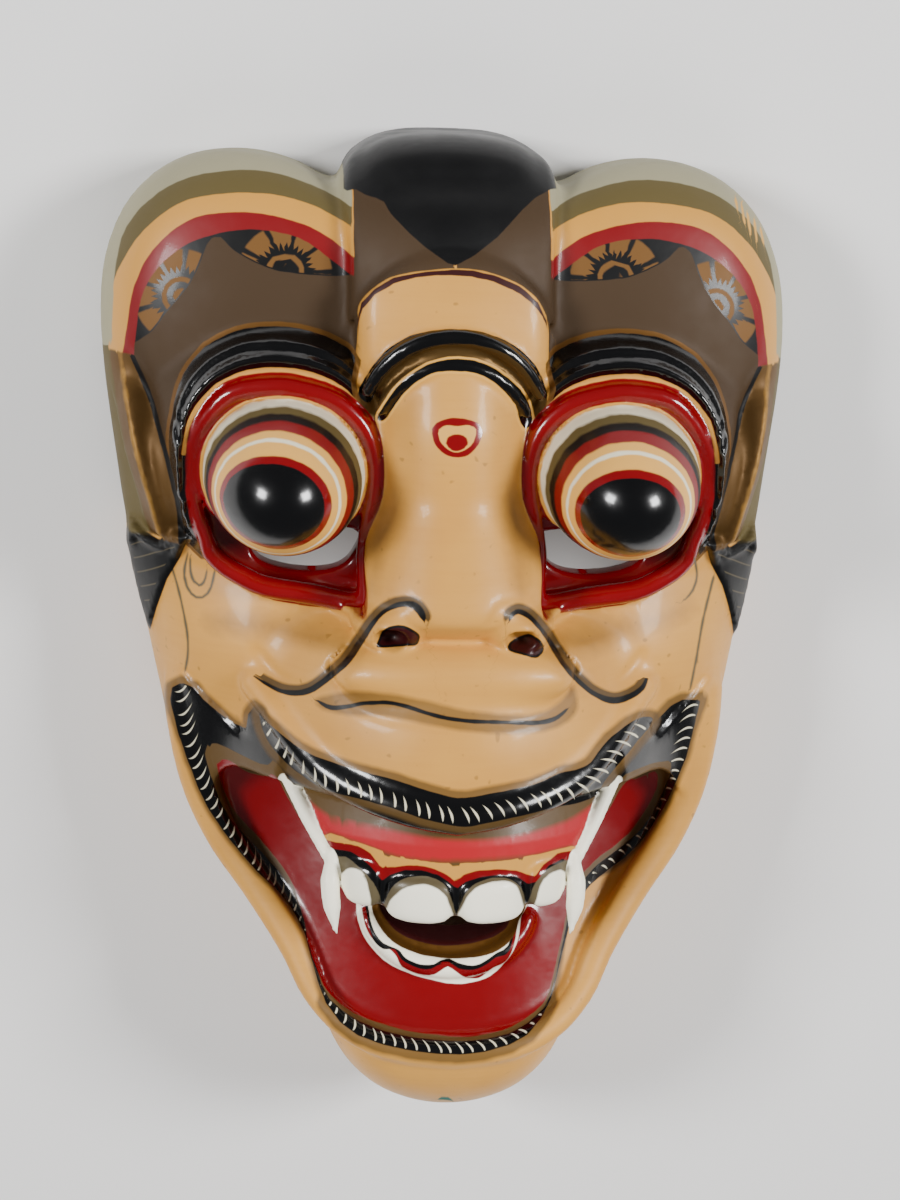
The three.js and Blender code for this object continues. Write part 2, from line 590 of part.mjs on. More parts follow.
const group = new THREE.Group();
const carved = new THREE.Mesh(leaned(mask()), WOOD);
carved.name = 'carved_mask';
group.add(carved);

export default group;
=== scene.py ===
"""The looks of a carved, painted wooden barong mask that lies face up on its flat rim."""

import math

import bpy
import numpy as np
from mathutils import Matrix, Vector


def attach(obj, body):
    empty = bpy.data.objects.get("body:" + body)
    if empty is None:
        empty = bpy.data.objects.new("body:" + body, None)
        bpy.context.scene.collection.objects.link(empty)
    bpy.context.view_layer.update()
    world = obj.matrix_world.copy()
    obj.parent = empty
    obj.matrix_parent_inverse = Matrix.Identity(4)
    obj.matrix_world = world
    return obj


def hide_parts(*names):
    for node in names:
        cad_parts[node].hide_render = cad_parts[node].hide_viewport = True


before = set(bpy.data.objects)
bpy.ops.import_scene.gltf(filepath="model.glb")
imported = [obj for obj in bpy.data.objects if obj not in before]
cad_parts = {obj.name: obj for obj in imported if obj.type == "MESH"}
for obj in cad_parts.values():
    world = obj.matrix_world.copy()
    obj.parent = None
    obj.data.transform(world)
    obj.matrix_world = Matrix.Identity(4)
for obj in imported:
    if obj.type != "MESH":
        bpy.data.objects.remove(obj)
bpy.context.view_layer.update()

MM = 0.001
NODE = "carved_mask"

# Sizes of the carving in millimetres: +X right, +Y to the crown, +Z out of the face.
# The right half is given; the left half is its mirror image, apart from the lean.
LEAN = 0.0215
LEAN_FROM = 100
OUTLINE = [
    (0, 144), (10, 143.5), (19, 141.5), (26, 137), (30, 131), (34, 131), (41, 134.5), (50, 137),
    (60, 137.5), (71, 135.5), (81, 130), (89, 121), (94.3, 108), (96, 94), (95.6, 78), (94, 60),
    (92, 42), (89.5, 25), (87, 9), (84.5, -5), (82, -18), (79.5, -30), (76.5, -42), (72.5, -54),
    (66.5, -65), (58, -76), (49, -86), (42, -95), (38, -104), (34.5, -113), (30, -122.5),
    (23, -132), (14, -138.5), (6, -141.5), (0, -142),
]
MIDDLE = (0.13, 1.0)  # of the outline with its lean, which is the row's origin
EDGE_ROUND = 17
RIM_WIDTH = 9
WALL = 9
SIDE_FLARE, SIDE_FLARE_HEIGHT = 2.5, 12
CHIN_FLARE, CHIN_FLARE_HEIGHT, CHIN_HALF_ANGLE = 9, 36, 0.42
SHELL_TOP, SHELL_FALL_SIDE, SHELL_FALL_END = 58, 24, 10
SOCKET_FLOOR = 47
COLUMN_HALF_WIDTH, COLUMN_TOP, COLUMN_FALL_SIDE = 27, 63, 6
CROWN_START, CROWN_Y, CROWN_DROP = 102, 144, 8.5
CAP_Y, CAP_DROP, CAP_STEP = 111, 15, 3
EYE_X, EYE_Y, EYE_Z = 45, 56, 60
EYE_HALF_WIDTH, EYE_HALF_HEIGHT, EYE_REACH, EYE_DROP = 21.5, 20.5, 36, 2.5
LID_GAP, LID_HEIGHT = 2.2, 61
MOUTH = [
    (0, -30), (30, -30), (50, -30), (60, -31), (65, -36), (65.5, -44), (61, -55), (53, -66),
    (45, -76), (39.5, -87), (35.5, -96), (27, -101.5), (16, -104.5), (0, -105.5),
]
JAW_BLOCK = [
    (0, -20), (50, -12), (48.5, -22), (41, -35), (34, -47), (31, -57), (20, -59.5), (0, -61),
]
JAW_TOP, JAW_FALL = 88.5, 12.5
LIP_BAND = [
    (0, -31, 92), (11, -29.5, 90.5), (22, -27, 86.5), (33, -23, 80), (41, -17, 73), (47, -11, 66.5), (54, -4, 58.5),
]
JAW_BAND = [
    (0, -109.5, 72), (17, -108, 70.5), (29, -103.5, 66.5), (38, -95, 61), (44.5, -83, 55),
    (54, -69, 48), (64, -55, 42.5), (70.5, -40, 39.5), (73, -25, 38), (73, -11, 38),
]
THROAT_Y, THROAT_HALF_WIDTH, THROAT_HALF_HEIGHT = -70.5, 19.5, 10
BROW_X, BROW_Y = 46, 54
BROW_OUTER = [
    (24.5, 85), (28, 88.8), (35, 92), (47.5, 93.8), (57, 92.5), (65.5, 88), (71.5, 80.5), (74.5, 70), (75.5, 60), (75, 50),
    (73.5, 40), (71.5, 33),
]
BROW_INNER = [
    (22, 69), (25, 75), (29.5, 79.5), (36, 82.5), (45, 84), (55, 83), (63, 79), (69, 72), (71.5, 64), (72, 55), (71, 45),
    (69, 36),
]
LID = [
    (20.8, 59, 61), (23.7, 68.3, 61), (31, 75.3, 61), (41, 78.5, 61), (48, 79, 61), (58.5, 77, 60.5), (66, 69, 59.5),
    (69, 61, 58.5), (69.5, 53, 58), (68.5, 44, 57), (66.5, 37, 55.5), (65, 32, 54.5), (61.5, 28.6, 55.2), (57, 26, 56),
    (50.5, 23.2, 56.8), (38, 21.4, 57.4), (30, 19.8, 57.8), (24.4, 19.6, 59), (23.2, 24, 60), (23.8, 33, 60), (22.8, 42, 60.5),
    (21, 50, 61),
]
LID_HALVES = [2.4, 2.8, 3, 3, 3, 2.8, 2.3, 2, 1.9, 1.9, 2.2, 2.7, 2.8, 2.9, 2.9, 2.9, 2.9, 3.2, 2.6, 2.2, 2, 2.1, 2.4]
SLIT = [(26.3, 37), (26.8, 30), (31, 26.2), (38, 25), (47, 26), (53, 28.5), (54.5, 33), (51, 38)]
MOUTH_CORNER = [
    (78, -7), (74.5, -4.5), (71, -8), (66, -12.5), (60.5, -18), (57.5, -19.5), (56, -14.5), (53, -13.5), (49.5, -15),
    (46, -20), (50, -34), (62, -36), (72, -42), (79, -32), (80.5, -18),
]
LOCK = [
    (71.5, 35.5), (76, 36.5), (80, 31.5), (84, 33), (89, 36.5), (91, 28), (89.5, 20), (87.5, 12), (84.5, 3),
    (81.8, 12), (78.5, 21), (74.5, 28),
]
WING_LINE = [
    (9, 22), (11.5, 25), (15, 25.3), (19, 23.2), (23, 18.5), (27.5, 12), (32.5, 5), (37.5, 0), (41.5, -1.5), (48, 0),
    (53, 5),
]
LIP_LINE = [(-36, 0), (-32, -1), (-26, 0), (-19, 0.5), (-10, -1.5), (0, -4.5), (12, -5.2), (22, -4.6), (28, -2.5), (31, 2), (30, 6), (27, 9.5)]
EAR_RIDGE = [(89.4, 84, 36), (87.6, 72, 46.5), (85, 58, 51), (82, 46, 51), (79.4, 33, 47)]
EAR_BESIDE = (33, 46, 58, 72, 84), (73.5, 73.8, 76.5, 81, 86)  # up, and across to the groove beside the ear
GRID_STEP = 1.0
TRIANGLES = 190000
ZONE_WIDTH, ZONE_HEIGHT = 32, 24

# The camera looks down on the mask from towards the crown and a little from its left.
PHOTO_WIDTH, PHOTO_HEIGHT = 900, 1200
FOCAL_PIXELS = 2143
CAMERA_DISTANCE = 600
CAMERA_AIM = (2.4, 16.8, 45)
CAMERA_PITCH, CAMERA_YAW, CAMERA_ROLL = 15, 4, -1.7


def make_camera():
    pitch, yaw, roll = (math.radians(a) for a in (CAMERA_PITCH, CAMERA_YAW, CAMERA_ROLL))
    away = Vector((-math.sin(yaw) * math.cos(pitch), math.sin(pitch), math.cos(yaw) * math.cos(pitch)))
    aim = Vector((CAMERA_AIM[0] - MIDDLE[0], CAMERA_AIM[1] - MIDDLE[1], CAMERA_AIM[2]))
    right = (-away).cross(Vector((0, 1, 0))).normalized()
    up = right.cross(-away)
    turned_right = right * math.cos(roll) - up * math.sin(roll)
    turned_up = right * math.sin(roll) + up * math.cos(roll)
    data = bpy.data.cameras.new("photo_view")
    data.sensor_width = 36
    data.sensor_fit = "AUTO"
    data.lens = 36 * FOCAL_PIXELS / PHOTO_HEIGHT
    camera = bpy.data.objects.new("photo_view", data)
    place = (aim + away * CAMERA_DISTANCE) * MM
    rows = [(turned_right[i], turned_up[i], away[i], place[i]) for i in range(3)]
    camera.matrix_world = Matrix(rows + [(0, 0, 0, 1)])
    bpy.context.scene.collection.objects.link(camera)
    bpy.context.scene.camera = camera


# Small maths

def smooth_max(a, b, rounding):
    near = np.maximum(rounding - np.abs(a - b), 0) / rounding
    return np.maximum(a, b) + near * near * (rounding / 4)


def smooth_min(a, b, rounding):
    return -smooth_max(-a, -b, rounding)


def smooth_step(low, high, value):
    t = np.clip((value - low) / (high - low), 0, 1)
    return t * t * (3 - 2 * t)


def smooth_line(points, closed=False, pieces=6):
    """Points along a Catmull-Rom curve through the given points."""
    p = np.array(points, float)
    if closed:
        p = np.vstack([p[-1:], p, p[:2]])
    else:
        p = np.vstack([2 * p[:1] - p[1:2], p, 2 * p[-1:] - p[-2:-1]])
    t = np.arange(pieces)[:, None] / pieces
    runs = []
    for a, b, c, d in zip(p, p[1:], p[2:], p[3:]):
        runs.append(0.5 * (2 * b + (c - a) * t + (2 * a - 5 * b + 4 * c - d) * t**2 + (3 * b - a - 3 * c + d) * t**3))
    if not closed:
        runs.append(p[-2:-1])
    return np.vstack(runs)


def both_sides(half):
    """Completes a half outline, given from its top to its bottom, with its mirror image."""
    return list(half) + [(-p[0], *p[1:]) for p in reversed(half) if p[0] > 0]


def outline_distance(points, x, y):
    """Signed distance from a closed outline, negative inside."""
    p = np.array(points, float)
    best = np.full(np.broadcast(x, y).shape, 1e9)
    inside = np.zeros(best.shape, bool)
    for (ax, ay), (bx, by) in zip(p, np.roll(p, -1, 0)):
        dx, dy = bx - ax, by - ay
        length = dx * dx + dy * dy
        if length == 0:
            continue
        t = np.clip(((x - ax) * dx + (y - ay) * dy) / length, 0, 1)
        best = np.minimum(best, (x - ax - t * dx) ** 2 + (y - ay - t * dy) ** 2)
        if ay != by:
            crosses = ((ay > y) != (by > y)) & (x < dx * (y - ay) / (by - ay) + ax)
            inside ^= crosses
    return np.where(inside, -1, 1) * np.sqrt(best)


def line_distance(points, x, y):
    best = np.full(np.broadcast(x, y).shape, 1e9)
    for (ax, ay), (bx, by) in zip(points, points[1:]):
        dx, dy = bx - ax, by - ay
        t = np.clip(((x - ax) * dx + (y - ay) * dy) / (dx * dx + dy * dy), 0, 1)
        best = np.minimum(best, (x - ax - t * dx) ** 2 + (y - ay - t * dy) ** 2)
    return np.sqrt(best)


def tube_distance(line, radii, x, y, z, flat=1.0, turn=0.0):
    """Distance from a rounded bar along a line. Its section is squeezed along z, turned about y."""
    radii = np.interp(np.linspace(0, 1, len(line)), np.linspace(0, 1, len(radii)), radii)
    c, s = math.cos(turn), math.sin(turn)
    best = np.full(np.broadcast(x, y, z).shape, 1e9, np.float32)
    for a, b, ra, rb in zip(line, line[1:], radii, radii[1:]):
        d = b - a
        t = np.clip(((x - a[0]) * d[0] + (y - a[1]) * d[1] + (z - a[2]) * d[2]) / (d @ d), 0, 1)
        ox, oy, oz = x - a[0] - t * d[0], y - a[1] - t * d[1], z - a[2] - t * d[2]
        wide = ox * c + oz * s
        high = (oz * c - ox * s) / flat
        best = np.minimum(best, np.sqrt(wide * wide + oy * oy + high * high) - (ra + (rb - ra) * t))
    return best * min(flat, 1)


def ellipsoid_distance(x, y, z, half):
    near = np.sqrt((x / half[0]) ** 2 + (y / half[1]) ** 2 + (z / half[2]) ** 2)
    slope = np.sqrt((x / half[0] ** 2) ** 2 + (y / half[1] ** 2) ** 2 + (z / half[2] ** 2) ** 2)
    return near * (near - 1) / np.maximum(slope, 1e-6)


def dome(across, along, base, rise, half_width, half_length):
    inside = 1 - (across / half_width) ** 2 - (along / half_length) ** 2
    return np.where(inside > 0, base + rise * np.sqrt(np.maximum(inside, 0)), -1e3)


def saddle(across, along, top, fall_side, fall_end, half_width, half_length):
    return top - fall_side * (across / half_width) ** 2 - fall_end * (along / half_length) ** 2


# The carved masses as heights above the rim

def shell_height(across, y):
    fall = SHELL_FALL_SIDE * (across / 90) ** 2.2 + SHELL_FALL_END * ((y - 5) / 140) ** 2
    cheek = 8 * np.exp(-(((across - 55) / 22) ** 2) - ((y - 3) / 22) ** 2)
    return smooth_max(SHELL_TOP - fall + cheek, saddle(across - 55, y - 88, 53, 15, 13, 42, 50), 8)


BRIDGE = smooth_line([
    (8, 73), (13, 77), (18, 83.5), (21.5, 86.6), (27, 86), (37, 81.5), (49, 76.2), (58, 75.6), (70, 75), (86, 70.5), (100, 66),
])


def face_height(across, y):
    from_eye = np.hypot(across - EYE_X, y - EYE_Y - 3)
    height = shell_height(across, y)
    height = smooth_max(height, 61 - 26 * smooth_step(25, 50, from_eye), 4)
    muzzle = saddle(across, y + 20, 92, 35, 11, 56, 30) - (np.maximum(y - 8, 0) / 3) ** 2
    height = smooth_max(height, muzzle, 6)
    jaw = saddle(across, np.minimum(y + 107, 0), 73, 11, 33, 36, 38) - (np.maximum(y + 60, 0) / 12) ** 2
    height = smooth_max(height, jaw, 5)
    beyond = np.maximum(np.maximum(8 - y, (y - 100) / 3), 0)
    wide = 19 + 6 * smooth_step(54, 24, y)
    ridge = np.interp(y, BRIDGE[:, 0], BRIDGE[:, 1]) - 14 * (across / wide) ** 2.5 - beyond**2
    height = smooth_max(height, ridge, 5)
    height = smooth_max(height, dome(across - 16.5, y - 17.5, 66, 19, 11, 9.5), 3)
    return smooth_max(height, dome(across, y - 4.5, 76, 11.5, 33, 10), 3)


def floor_height(across, y):
    return smooth_max(67 - 5 * (across / 29) ** 2 - 0.3 * (y + 104), 36.0, 8)


def jaw_height(across, y):
    return JAW_TOP - JAW_FALL * (across / 34) ** 2 - np.maximum(y + 40, 0) * 0.35


def column_height(across, y):
    over = np.clip((y - CROWN_START) / (CROWN_Y + 0.8 - CROWN_START), 0, 1)
    return (COLUMN_TOP - COLUMN_FALL_SIDE * (across / COLUMN_HALF_WIDTH) ** 2) * np.sqrt(1 - over**2.6)


def cap_edge(across):
    return CAP_Y - CAP_DROP * np.abs(across / COLUMN_HALF_WIDTH) ** 2.5


def forehead_height(across, y):
    swell = 1 - ((y - 90) / 34) ** 2 - 0.35 * (across / COLUMN_HALF_WIDTH) ** 2
    return COLUMN_TOP - CAP_STEP - 3 + 12 * swell


def around_eye(line, x, y):
    """Distance from the eye's middle, as a share of the distance to a line round it."""
    line = np.array(line, float)[::-1]
    turn = np.arctan2(line[:, 1] - BROW_Y, line[:, 0] - BROW_X)
    away = np.hypot(line[:, 0] - BROW_X, line[:, 1] - BROW_Y)
    return np.interp(np.arctan2(y - BROW_Y, x - BROW_X), turn, away)


def relief(x, y):
    """Low carving that stands out of the big masses."""
    away = np.hypot(x - BROW_X, y - BROW_Y)
    turn = np.degrees(np.arctan2(y - BROW_Y, x - BROW_X))
    inner, outer = around_eye(BROW_INNER, x, y), around_eye(BROW_OUTER, x, y)
    share = (away - inner) / (outer - inner)
    thick = 2.4 * np.exp(-(((share - 0.26) / 0.17) ** 2)) + 1.5 * np.exp(-(((share - 0.66) / 0.14) ** 2))
    lift = 0.8 * smooth_step(-0.15, 0.1, share) * smooth_step(1.2, 0.85, share)
    brow = (thick + lift) * smooth_step(-42, -22, turn) * smooth_step(150, 126, turn)
    corner = 1.3 * smooth_step(0.8, -0.8, outline_distance(smooth_line(MOUTH_CORNER, closed=True, pieces=3), x, y))
    lock = outline_distance(LOCK, x, y)
    curl = 1.8 * np.exp(-(((lock + 1.6) / 1.3) ** 2)) * smooth_step(26, 31, y)
    lock = 1.4 * smooth_step(0.8, -1, lock) + curl
    beside = np.interp(y, *EAR_BESIDE)
    groove = 2.2 * np.exp(-(((x - beside) / 2.6) ** 2)) * smooth_step(30, 38, y) * smooth_step(88, 76, y)
    creases = groove
    for line, depth in ((WING_LINE, 0.7), (LIP_LINE, 0.5)):
        creases = creases + depth * np.exp(-((line_distance(smooth_line(line, pieces=4), x, y) / 1.5) ** 2))
    return brow + corner + lock - creases


class Carving:
    """A block of wood as a field over a half grid: negative in the wood, in millimetres."""

    def __init__(self):
        self.x = np.arange(0, 100 + GRID_STEP, GRID_STEP, dtype=np.float32)
        self.y = np.arange(-147, 149, GRID_STEP, dtype=np.float32)
        self.z = np.arange(-3 * GRID_STEP, 101, GRID_STEP, dtype=np.float32)
        self.parts = {}
        self.field = self.block()

    def flat(self):
        return self.x[:, None], self.y[None, :]

    def over(self, box):
        cuts = []
        for axis, (low, high) in zip((self.x, self.y, self.z), box):
            cuts.append(slice(max(np.searchsorted(axis, low) - 1, 0), np.searchsorted(axis, high) + 1))
        i, j, k = cuts
        return (i, j, k), self.x[i, None, None], self.y[None, j, None], self.z[None, None, k]

    def add(self, box, shape, rounding, name=None):
        if name:
            self.parts[name] = shape
        cuts, x, y, z = self.over(box)
        self.field[cuts] = smooth_min(self.field[cuts], shape(x, y, z), rounding)

    def cut(self, box, shape, rounding):
        cuts, x, y, z = self.over(box)
        self.field[cuts] = smooth_max(self.field[cuts], -shape(x, y, z), rounding)

    def slope(self, height):
        gx, gy = np.gradient(height, GRID_STEP)
        return np.sqrt(1 + np.minimum(gx**2 + gy**2, 9))[:, :, None]

    def flare(self, x, y, z, low_only=False):
        angle = np.abs(np.arctan2(x, -y))[:, :, None]
        chin = 1 - smooth_step(CHIN_HALF_ANGLE * 0.5, CHIN_HALF_ANGLE * 1.5, angle)
        size = SIDE_FLARE + (CHIN_FLARE - SIDE_FLARE) * chin
        if low_only:
            return size
        height = SIDE_FLARE_HEIGHT + (CHIN_FLARE_HEIGHT - SIDE_FLARE_HEIGHT) * chin
        return size * np.maximum(1 - np.maximum(z, 0) / height, 0) ** 2

    def block(self):
        x, y = self.flat()
        z = self.z[None, None, :]
        self.outline = smooth_line(both_sides(OUTLINE), closed=True, pieces=3)
        self.edge = outline_distance(self.outline, x, y)[:, :, None]
        height = face_height(x, y)
        top = (z - height[:, :, None]) / self.slope(height)
        body = smooth_max(top, self.edge + self.flare(x, y, z), EDGE_ROUND)
        return (body - relief(x, y)[:, :, None]).astype(np.float32)

    def hollow(self):
        x, y = self.flat()
        z = self.z[None, None, :]
        from_eye = np.hypot(x - EYE_X, y - EYE_Y)
        under_eye = SOCKET_FLOOR + 20 * smooth_step(42, 62, from_eye)
        under_mouth = floor_height(x, y) + 40 * smooth_step(-32, -8, y)
        roof = smooth_min(smooth_min(shell_height(x, y), under_eye, 8), under_mouth, 6) - WALL
        roof = smooth_max(roof, saddle(x, y - 10, 66, 30, 34, 26, 40), 10)
        side = self.edge + self.flare(x, y, z, low_only=True) + RIM_WIDTH
        return smooth_max((z - roof[:, :, None]) / self.slope(roof), side, EDGE_ROUND).astype(np.float32)


def carve_mouth(wood):
    outline = smooth_line(both_sides(MOUTH), closed=True, pieces=3)

    def recess(x, y, z):
        side = outline_distance(outline, x, y)
        return smooth_max(side, floor_height(x, y) - z, 5)

    wood.cut(((0, 70), (-110, -24), (25, 101)), recess, 2.5)


def carve_crown(wood):
    def column(x, y, z):
        top = z - column_height(x, y)
        side = np.maximum(x - COLUMN_HALF_WIDTH - 1.5 * smooth_step(110, 135, y), cap_edge(x) - y)
        beyond = outline_distance(wood.outline, x, y)
        return smooth_max(smooth_max(top, side, 3), beyond, 3)

    def brow_bulge(x, y, z):
        narrow = 25.5 - 10 * smooth_step(88, 64, y)
        side = smooth_max(x - narrow, 62 + 12 * (x / 25) ** 1.5 - y, 8)
        return smooth_max(smooth_max((z - forehead_height(x, y)) / 1.1, side, 6), y - cap_edge(x) - 3, 2)

    wood.add(((0, 34), (90, 149), (0, 80)), column, 3, "column")
    wood.add(((0, 30), (56, 115), (40, 85)), brow_bulge, 3)
    for y, radius, half, lower in ((69.5, 24.5, 2.2, 0.2), (65.5, 21, 1.9, 0.3)):
        angles = np.linspace(0, 1.18, 10)
        px, py = radius * np.sin(angles), y + radius * np.cos(angles)
        pz = forehead_height(px, py) + 0.4 * half
        line = np.stack([px, py, pz], 1)
        wood.add(((0, 30), (60, 105), (50, 90)), lambda a, b, c: tube_distance(line, [half, half, half * 0.8], a, b, c), 1.2)


def carve_eyes(wood):
    line = smooth_line(LID, closed=True, pieces=3)
    slit_outline = smooth_line(SLIT, closed=True, pieces=4)

    def socket(x, y, z):
        side = outline_distance(line[:, :2], x, y)
        bed = np.hypot((x - EYE_X) / 23.5, (y - EYE_Y) / 22.5) * 23 - 23
        return smooth_max(smooth_max(side, SOCKET_FLOOR - z, 4), -smooth_max(bed, 42 - y, 3), 2)

    def slit(x, y, z):
        return outline_distance(slit_outline, x, y) + 0 * z

    wood.cut(((15, 75), (14, 90), (40, 101)), socket, 1.5)
    wood.cut(((20, 60), (16, 45), (-4, 101)), slit, 1.5)
    line = np.vstack([line, line[:1]])
    wood.add(
        ((12, 80), (12, 90), (45, 72)), lambda x, y, z: tube_distance(line, LID_HALVES, x, y, z, flat=1.3), 0.8, "lid"
    )

    def eyeball(x, y, z):
        forward = np.clip((z - EYE_Z) / EYE_REACH, 0, 1)
        depth = np.where(z > EYE_Z, (z - EYE_Z) / EYE_REACH, (z - EYE_Z) / 15) * EYE_HALF_WIDTH
        return ellipsoid_distance(
            x - EYE_X, (y - EYE_Y + EYE_DROP * forward) * EYE_HALF_WIDTH / EYE_HALF_HEIGHT, depth,
            (EYE_HALF_WIDTH,) * 3,
        )

    wood.add(((20, 70), (30, 80), (42, 100)), eyeball, 1.6, "eyeball")


def carve_jaws(wood):
    outline = smooth_line(both_sides(JAW_BLOCK), closed=True, pieces=3)

    def block(x, y, z):
        side = outline_distance(outline, x, y)
        return smooth_max(smooth_max((z - jaw_height(x, y)) / 1.15, side, 4), 30 - z, 2)

    wood.add(((0, 56), (-66, -8), (28, 95)), block, 2, "block")
    lip = smooth_line(LIP_BAND)
    wood.add(((0, 62), (-40, 4), (50, 100)), lambda x, y, z: tube_distance(lip, [4.2, 4.2, 4, 3.6], x, y, z, flat=0.75), 3, "lip")
    jaw = smooth_line(JAW_BAND)
    radii = [3.2, 3.5, 4.0, 4.6, 5.4, 7]
    wood.add(((0, 86), (-118, 0), (25, 82)), lambda x, y, z: tube_distance(jaw, radii, x, y, z, flat=0.8), 2)
    angles = np.linspace(math.pi / 2, 0.08 * math.pi, 10)
    gx, gy = 23.5 * np.cos(angles), -71 - 15.5 * np.sin(angles)
    gum = np.stack([gx, gy, floor_height(gx, gy) + 0.8], 1)
    wood.add(((0, 32), (-94, -60), (45, 75)), lambda x, y, z: tube_distance(gum, [3.4, 3.4, 2.4], x, y, z), 2)
    tusk = smooth_line([(49.5, -21, 62), (42, -34, 69), (34.5, -48, 75.5)])
    wood.add(((28, 56), (-54, -14), (55, 85)), lambda x, y, z: tube_distance(tusk, [1.1, 1.9, 2.0, 1.4], x, y, z), 0.5, "tusk")
    fang = smooth_line([(33.4, -47, 76.5), (33.6, -57, 79.5), (32.2, -68, 81)])
    wood.add(((26, 40), (-72, -36), (70, 90)), lambda x, y, z: tube_distance(fang, [1.3, 2.7, 2.4, 0.5], x, y, z), 0.5, "fang")

    for tx, ty, half_width, half_height in ((9.9, -55.6, 9.3, 6.6), (25.2, -53, 5.2, 6.4)):
        def tooth(x, y, z, tx=tx, ty=ty, half_width=half_width, half_height=half_height):
            u = np.abs((x - tx) / half_width)
            v = np.abs((y - ty) / half_height)
            w = np.abs((z - jaw_height(x, y) + 1.2) / 4)
            near = (u**3.2 + v**3.2 + w**3.2) ** (1 / 3.2)
            return (near - 1) * 4

        wood.add(((0, 34), (-66, -44), (70, 98)), tooth, 0.6, f"tooth{tx}")


def carve_ears(wood):
    ridge = smooth_line(EAR_RIDGE, pieces=3)

    def ear(x, y, z):
        at = np.interp(y, ridge[::-1, 1], ridge[::-1, 0])
        up = np.interp(y, ridge[::-1, 1], ridge[::-1, 2])
        inner = 0.9 * (z - up) - 0.43 * (x - at)
        outer = 0.34 * (z - up) + 0.94 * (x - at)
        ends = np.maximum(33.5 - y, y - 84)
        return smooth_max(smooth_max(inner, outer, 1.5), smooth_max(ends, up - 14 - z, 2), 3)

    wood.add(((68, 100), (30, 88), (14, 52)), ear, 1, "ear")


def carve_nose(wood):
    def nostril(x, y, z):
        return ellipsoid_distance(x - 17.3, y - 15.5, z - 84, (4.6, 3.4, 8))

    wood.cut(((8, 26), (8, 24), (70, 100)), nostril, 1)


def carve_mask():
    wood = Carving()
    carve_mouth(wood)
    carve_crown(wood)
    carve_eyes(wood)
    carve_jaws(wood)
    carve_ears(wood)
    carve_nose(wood)

    def throat(x, y, z):
        near = np.hypot(x / THROAT_HALF_WIDTH, (y - THROAT_Y) / THROAT_HALF_HEIGHT)
        return (near - 1) * THROAT_HALF_HEIGHT + 0 * z

    wood.cut(((0, 24), (-84, -56), (-4, 80)), throat, 1.5)
    wood.inside = wood.hollow()
    wood.field = smooth_max(wood.field, -wood.inside, 2)
    wood.field = smooth_max(wood.field, -wood.z[None, None, :], 1)
    return wood


# From the field to a mesh

CORNERS = [(0, 0, 0), (1, 0, 0), (0, 1, 0), (1, 1, 0), (0, 0, 1), (1, 0, 1), (0, 1, 1), (1, 1, 1)]
EDGES = [(a, b) for a in range(8) for b in range(a + 1, 8)
         if sum(abs(p - q) for p, q in zip(CORNERS[a], CORNERS[b])) == 1]


def surface_of(field, x, y, z):
    """One vertex in each cell that the surface crosses, and a quad round each grid edge that it crosses."""
    size = np.array(field.shape) - 1
    wood = field < 0
    count = sum(wood[i:i + size[0], j:j + size[1], k:k + size[2]].astype(np.int8) for i, j, k in CORNERS)
    cells = np.argwhere((count > 0) & (count < 8))
    number = np.full(size, -1, np.int32)
    number[tuple(cells.T)] = np.arange(len(cells))
    values = np.stack([field[tuple((cells + c).T)] for c in CORNERS], 1)
    total = np.zeros((len(cells), 3))
    crossings = np.zeros((len(cells), 1))
    corners = np.array(CORNERS, float)
    for a, b in EDGES:
        fa, fb = values[:, a], values[:, b]
        crosses = ((fa < 0) != (fb < 0))[:, None]
        t = (fa / np.where(fa == fb, 1, fa - fb))[:, None]
        total += np.where(crosses, corners[a] + (corners[b] - corners[a]) * t, 0)
        crossings += crosses
    points = cells + total / crossings
    steps = np.array([x[1] - x[0], y[1] - y[0], z[1] - z[0]])
    points = points * steps + np.array([x[0], y[0], z[0]])
    quads = []
    for axis in range(3):
        u, v = (axis + 1) % 3, (axis + 2) % 3
        ahead = [slice(None)] * 3
        behind = [slice(None)] * 3
        ahead[axis], behind[axis] = slice(1, None), slice(None, -1)
        for first, second, forward in ((behind, ahead, True), (ahead, behind, False)):
            at = np.argwhere(wood[tuple(first)] & ~wood[tuple(second)])
            at = at[(at[:, u] > 0) & (at[:, v] > 0) & (at[:, u] < size[u]) & (at[:, v] < size[v])]
            ring = []
            for du, dv in ((-1, -1), (0, -1), (0, 0), (-1, 0)):
                cell = at.copy()
                cell[:, u] += du
                cell[:, v] += dv
                ring.append(number[tuple(cell.T)])
            ring = np.stack(ring, 1)
            quads.append(ring if forward else ring[:, ::-1])
    return points, np.vstack(quads)


def sample(field, axes, points):
    """The field between its grid points."""
    at = [np.clip((points[:, i] - a[0]) / (a[1] - a[0]), 0, len(a) - 1.001) for i, a in enumerate(axes)]
    low = [a.astype(int) for a in at]
    part = [a - b for a, b in zip(at, low)]
    value = 0
    for i, j, k in CORNERS:
        weight = (part[0] if i else 1 - part[0]) * (part[1] if j else 1 - part[1]) * (part[2] if k else 1 - part[2])
        value = value + weight * field[low[0] + i, low[1] + j, low[2] + k]
    return value


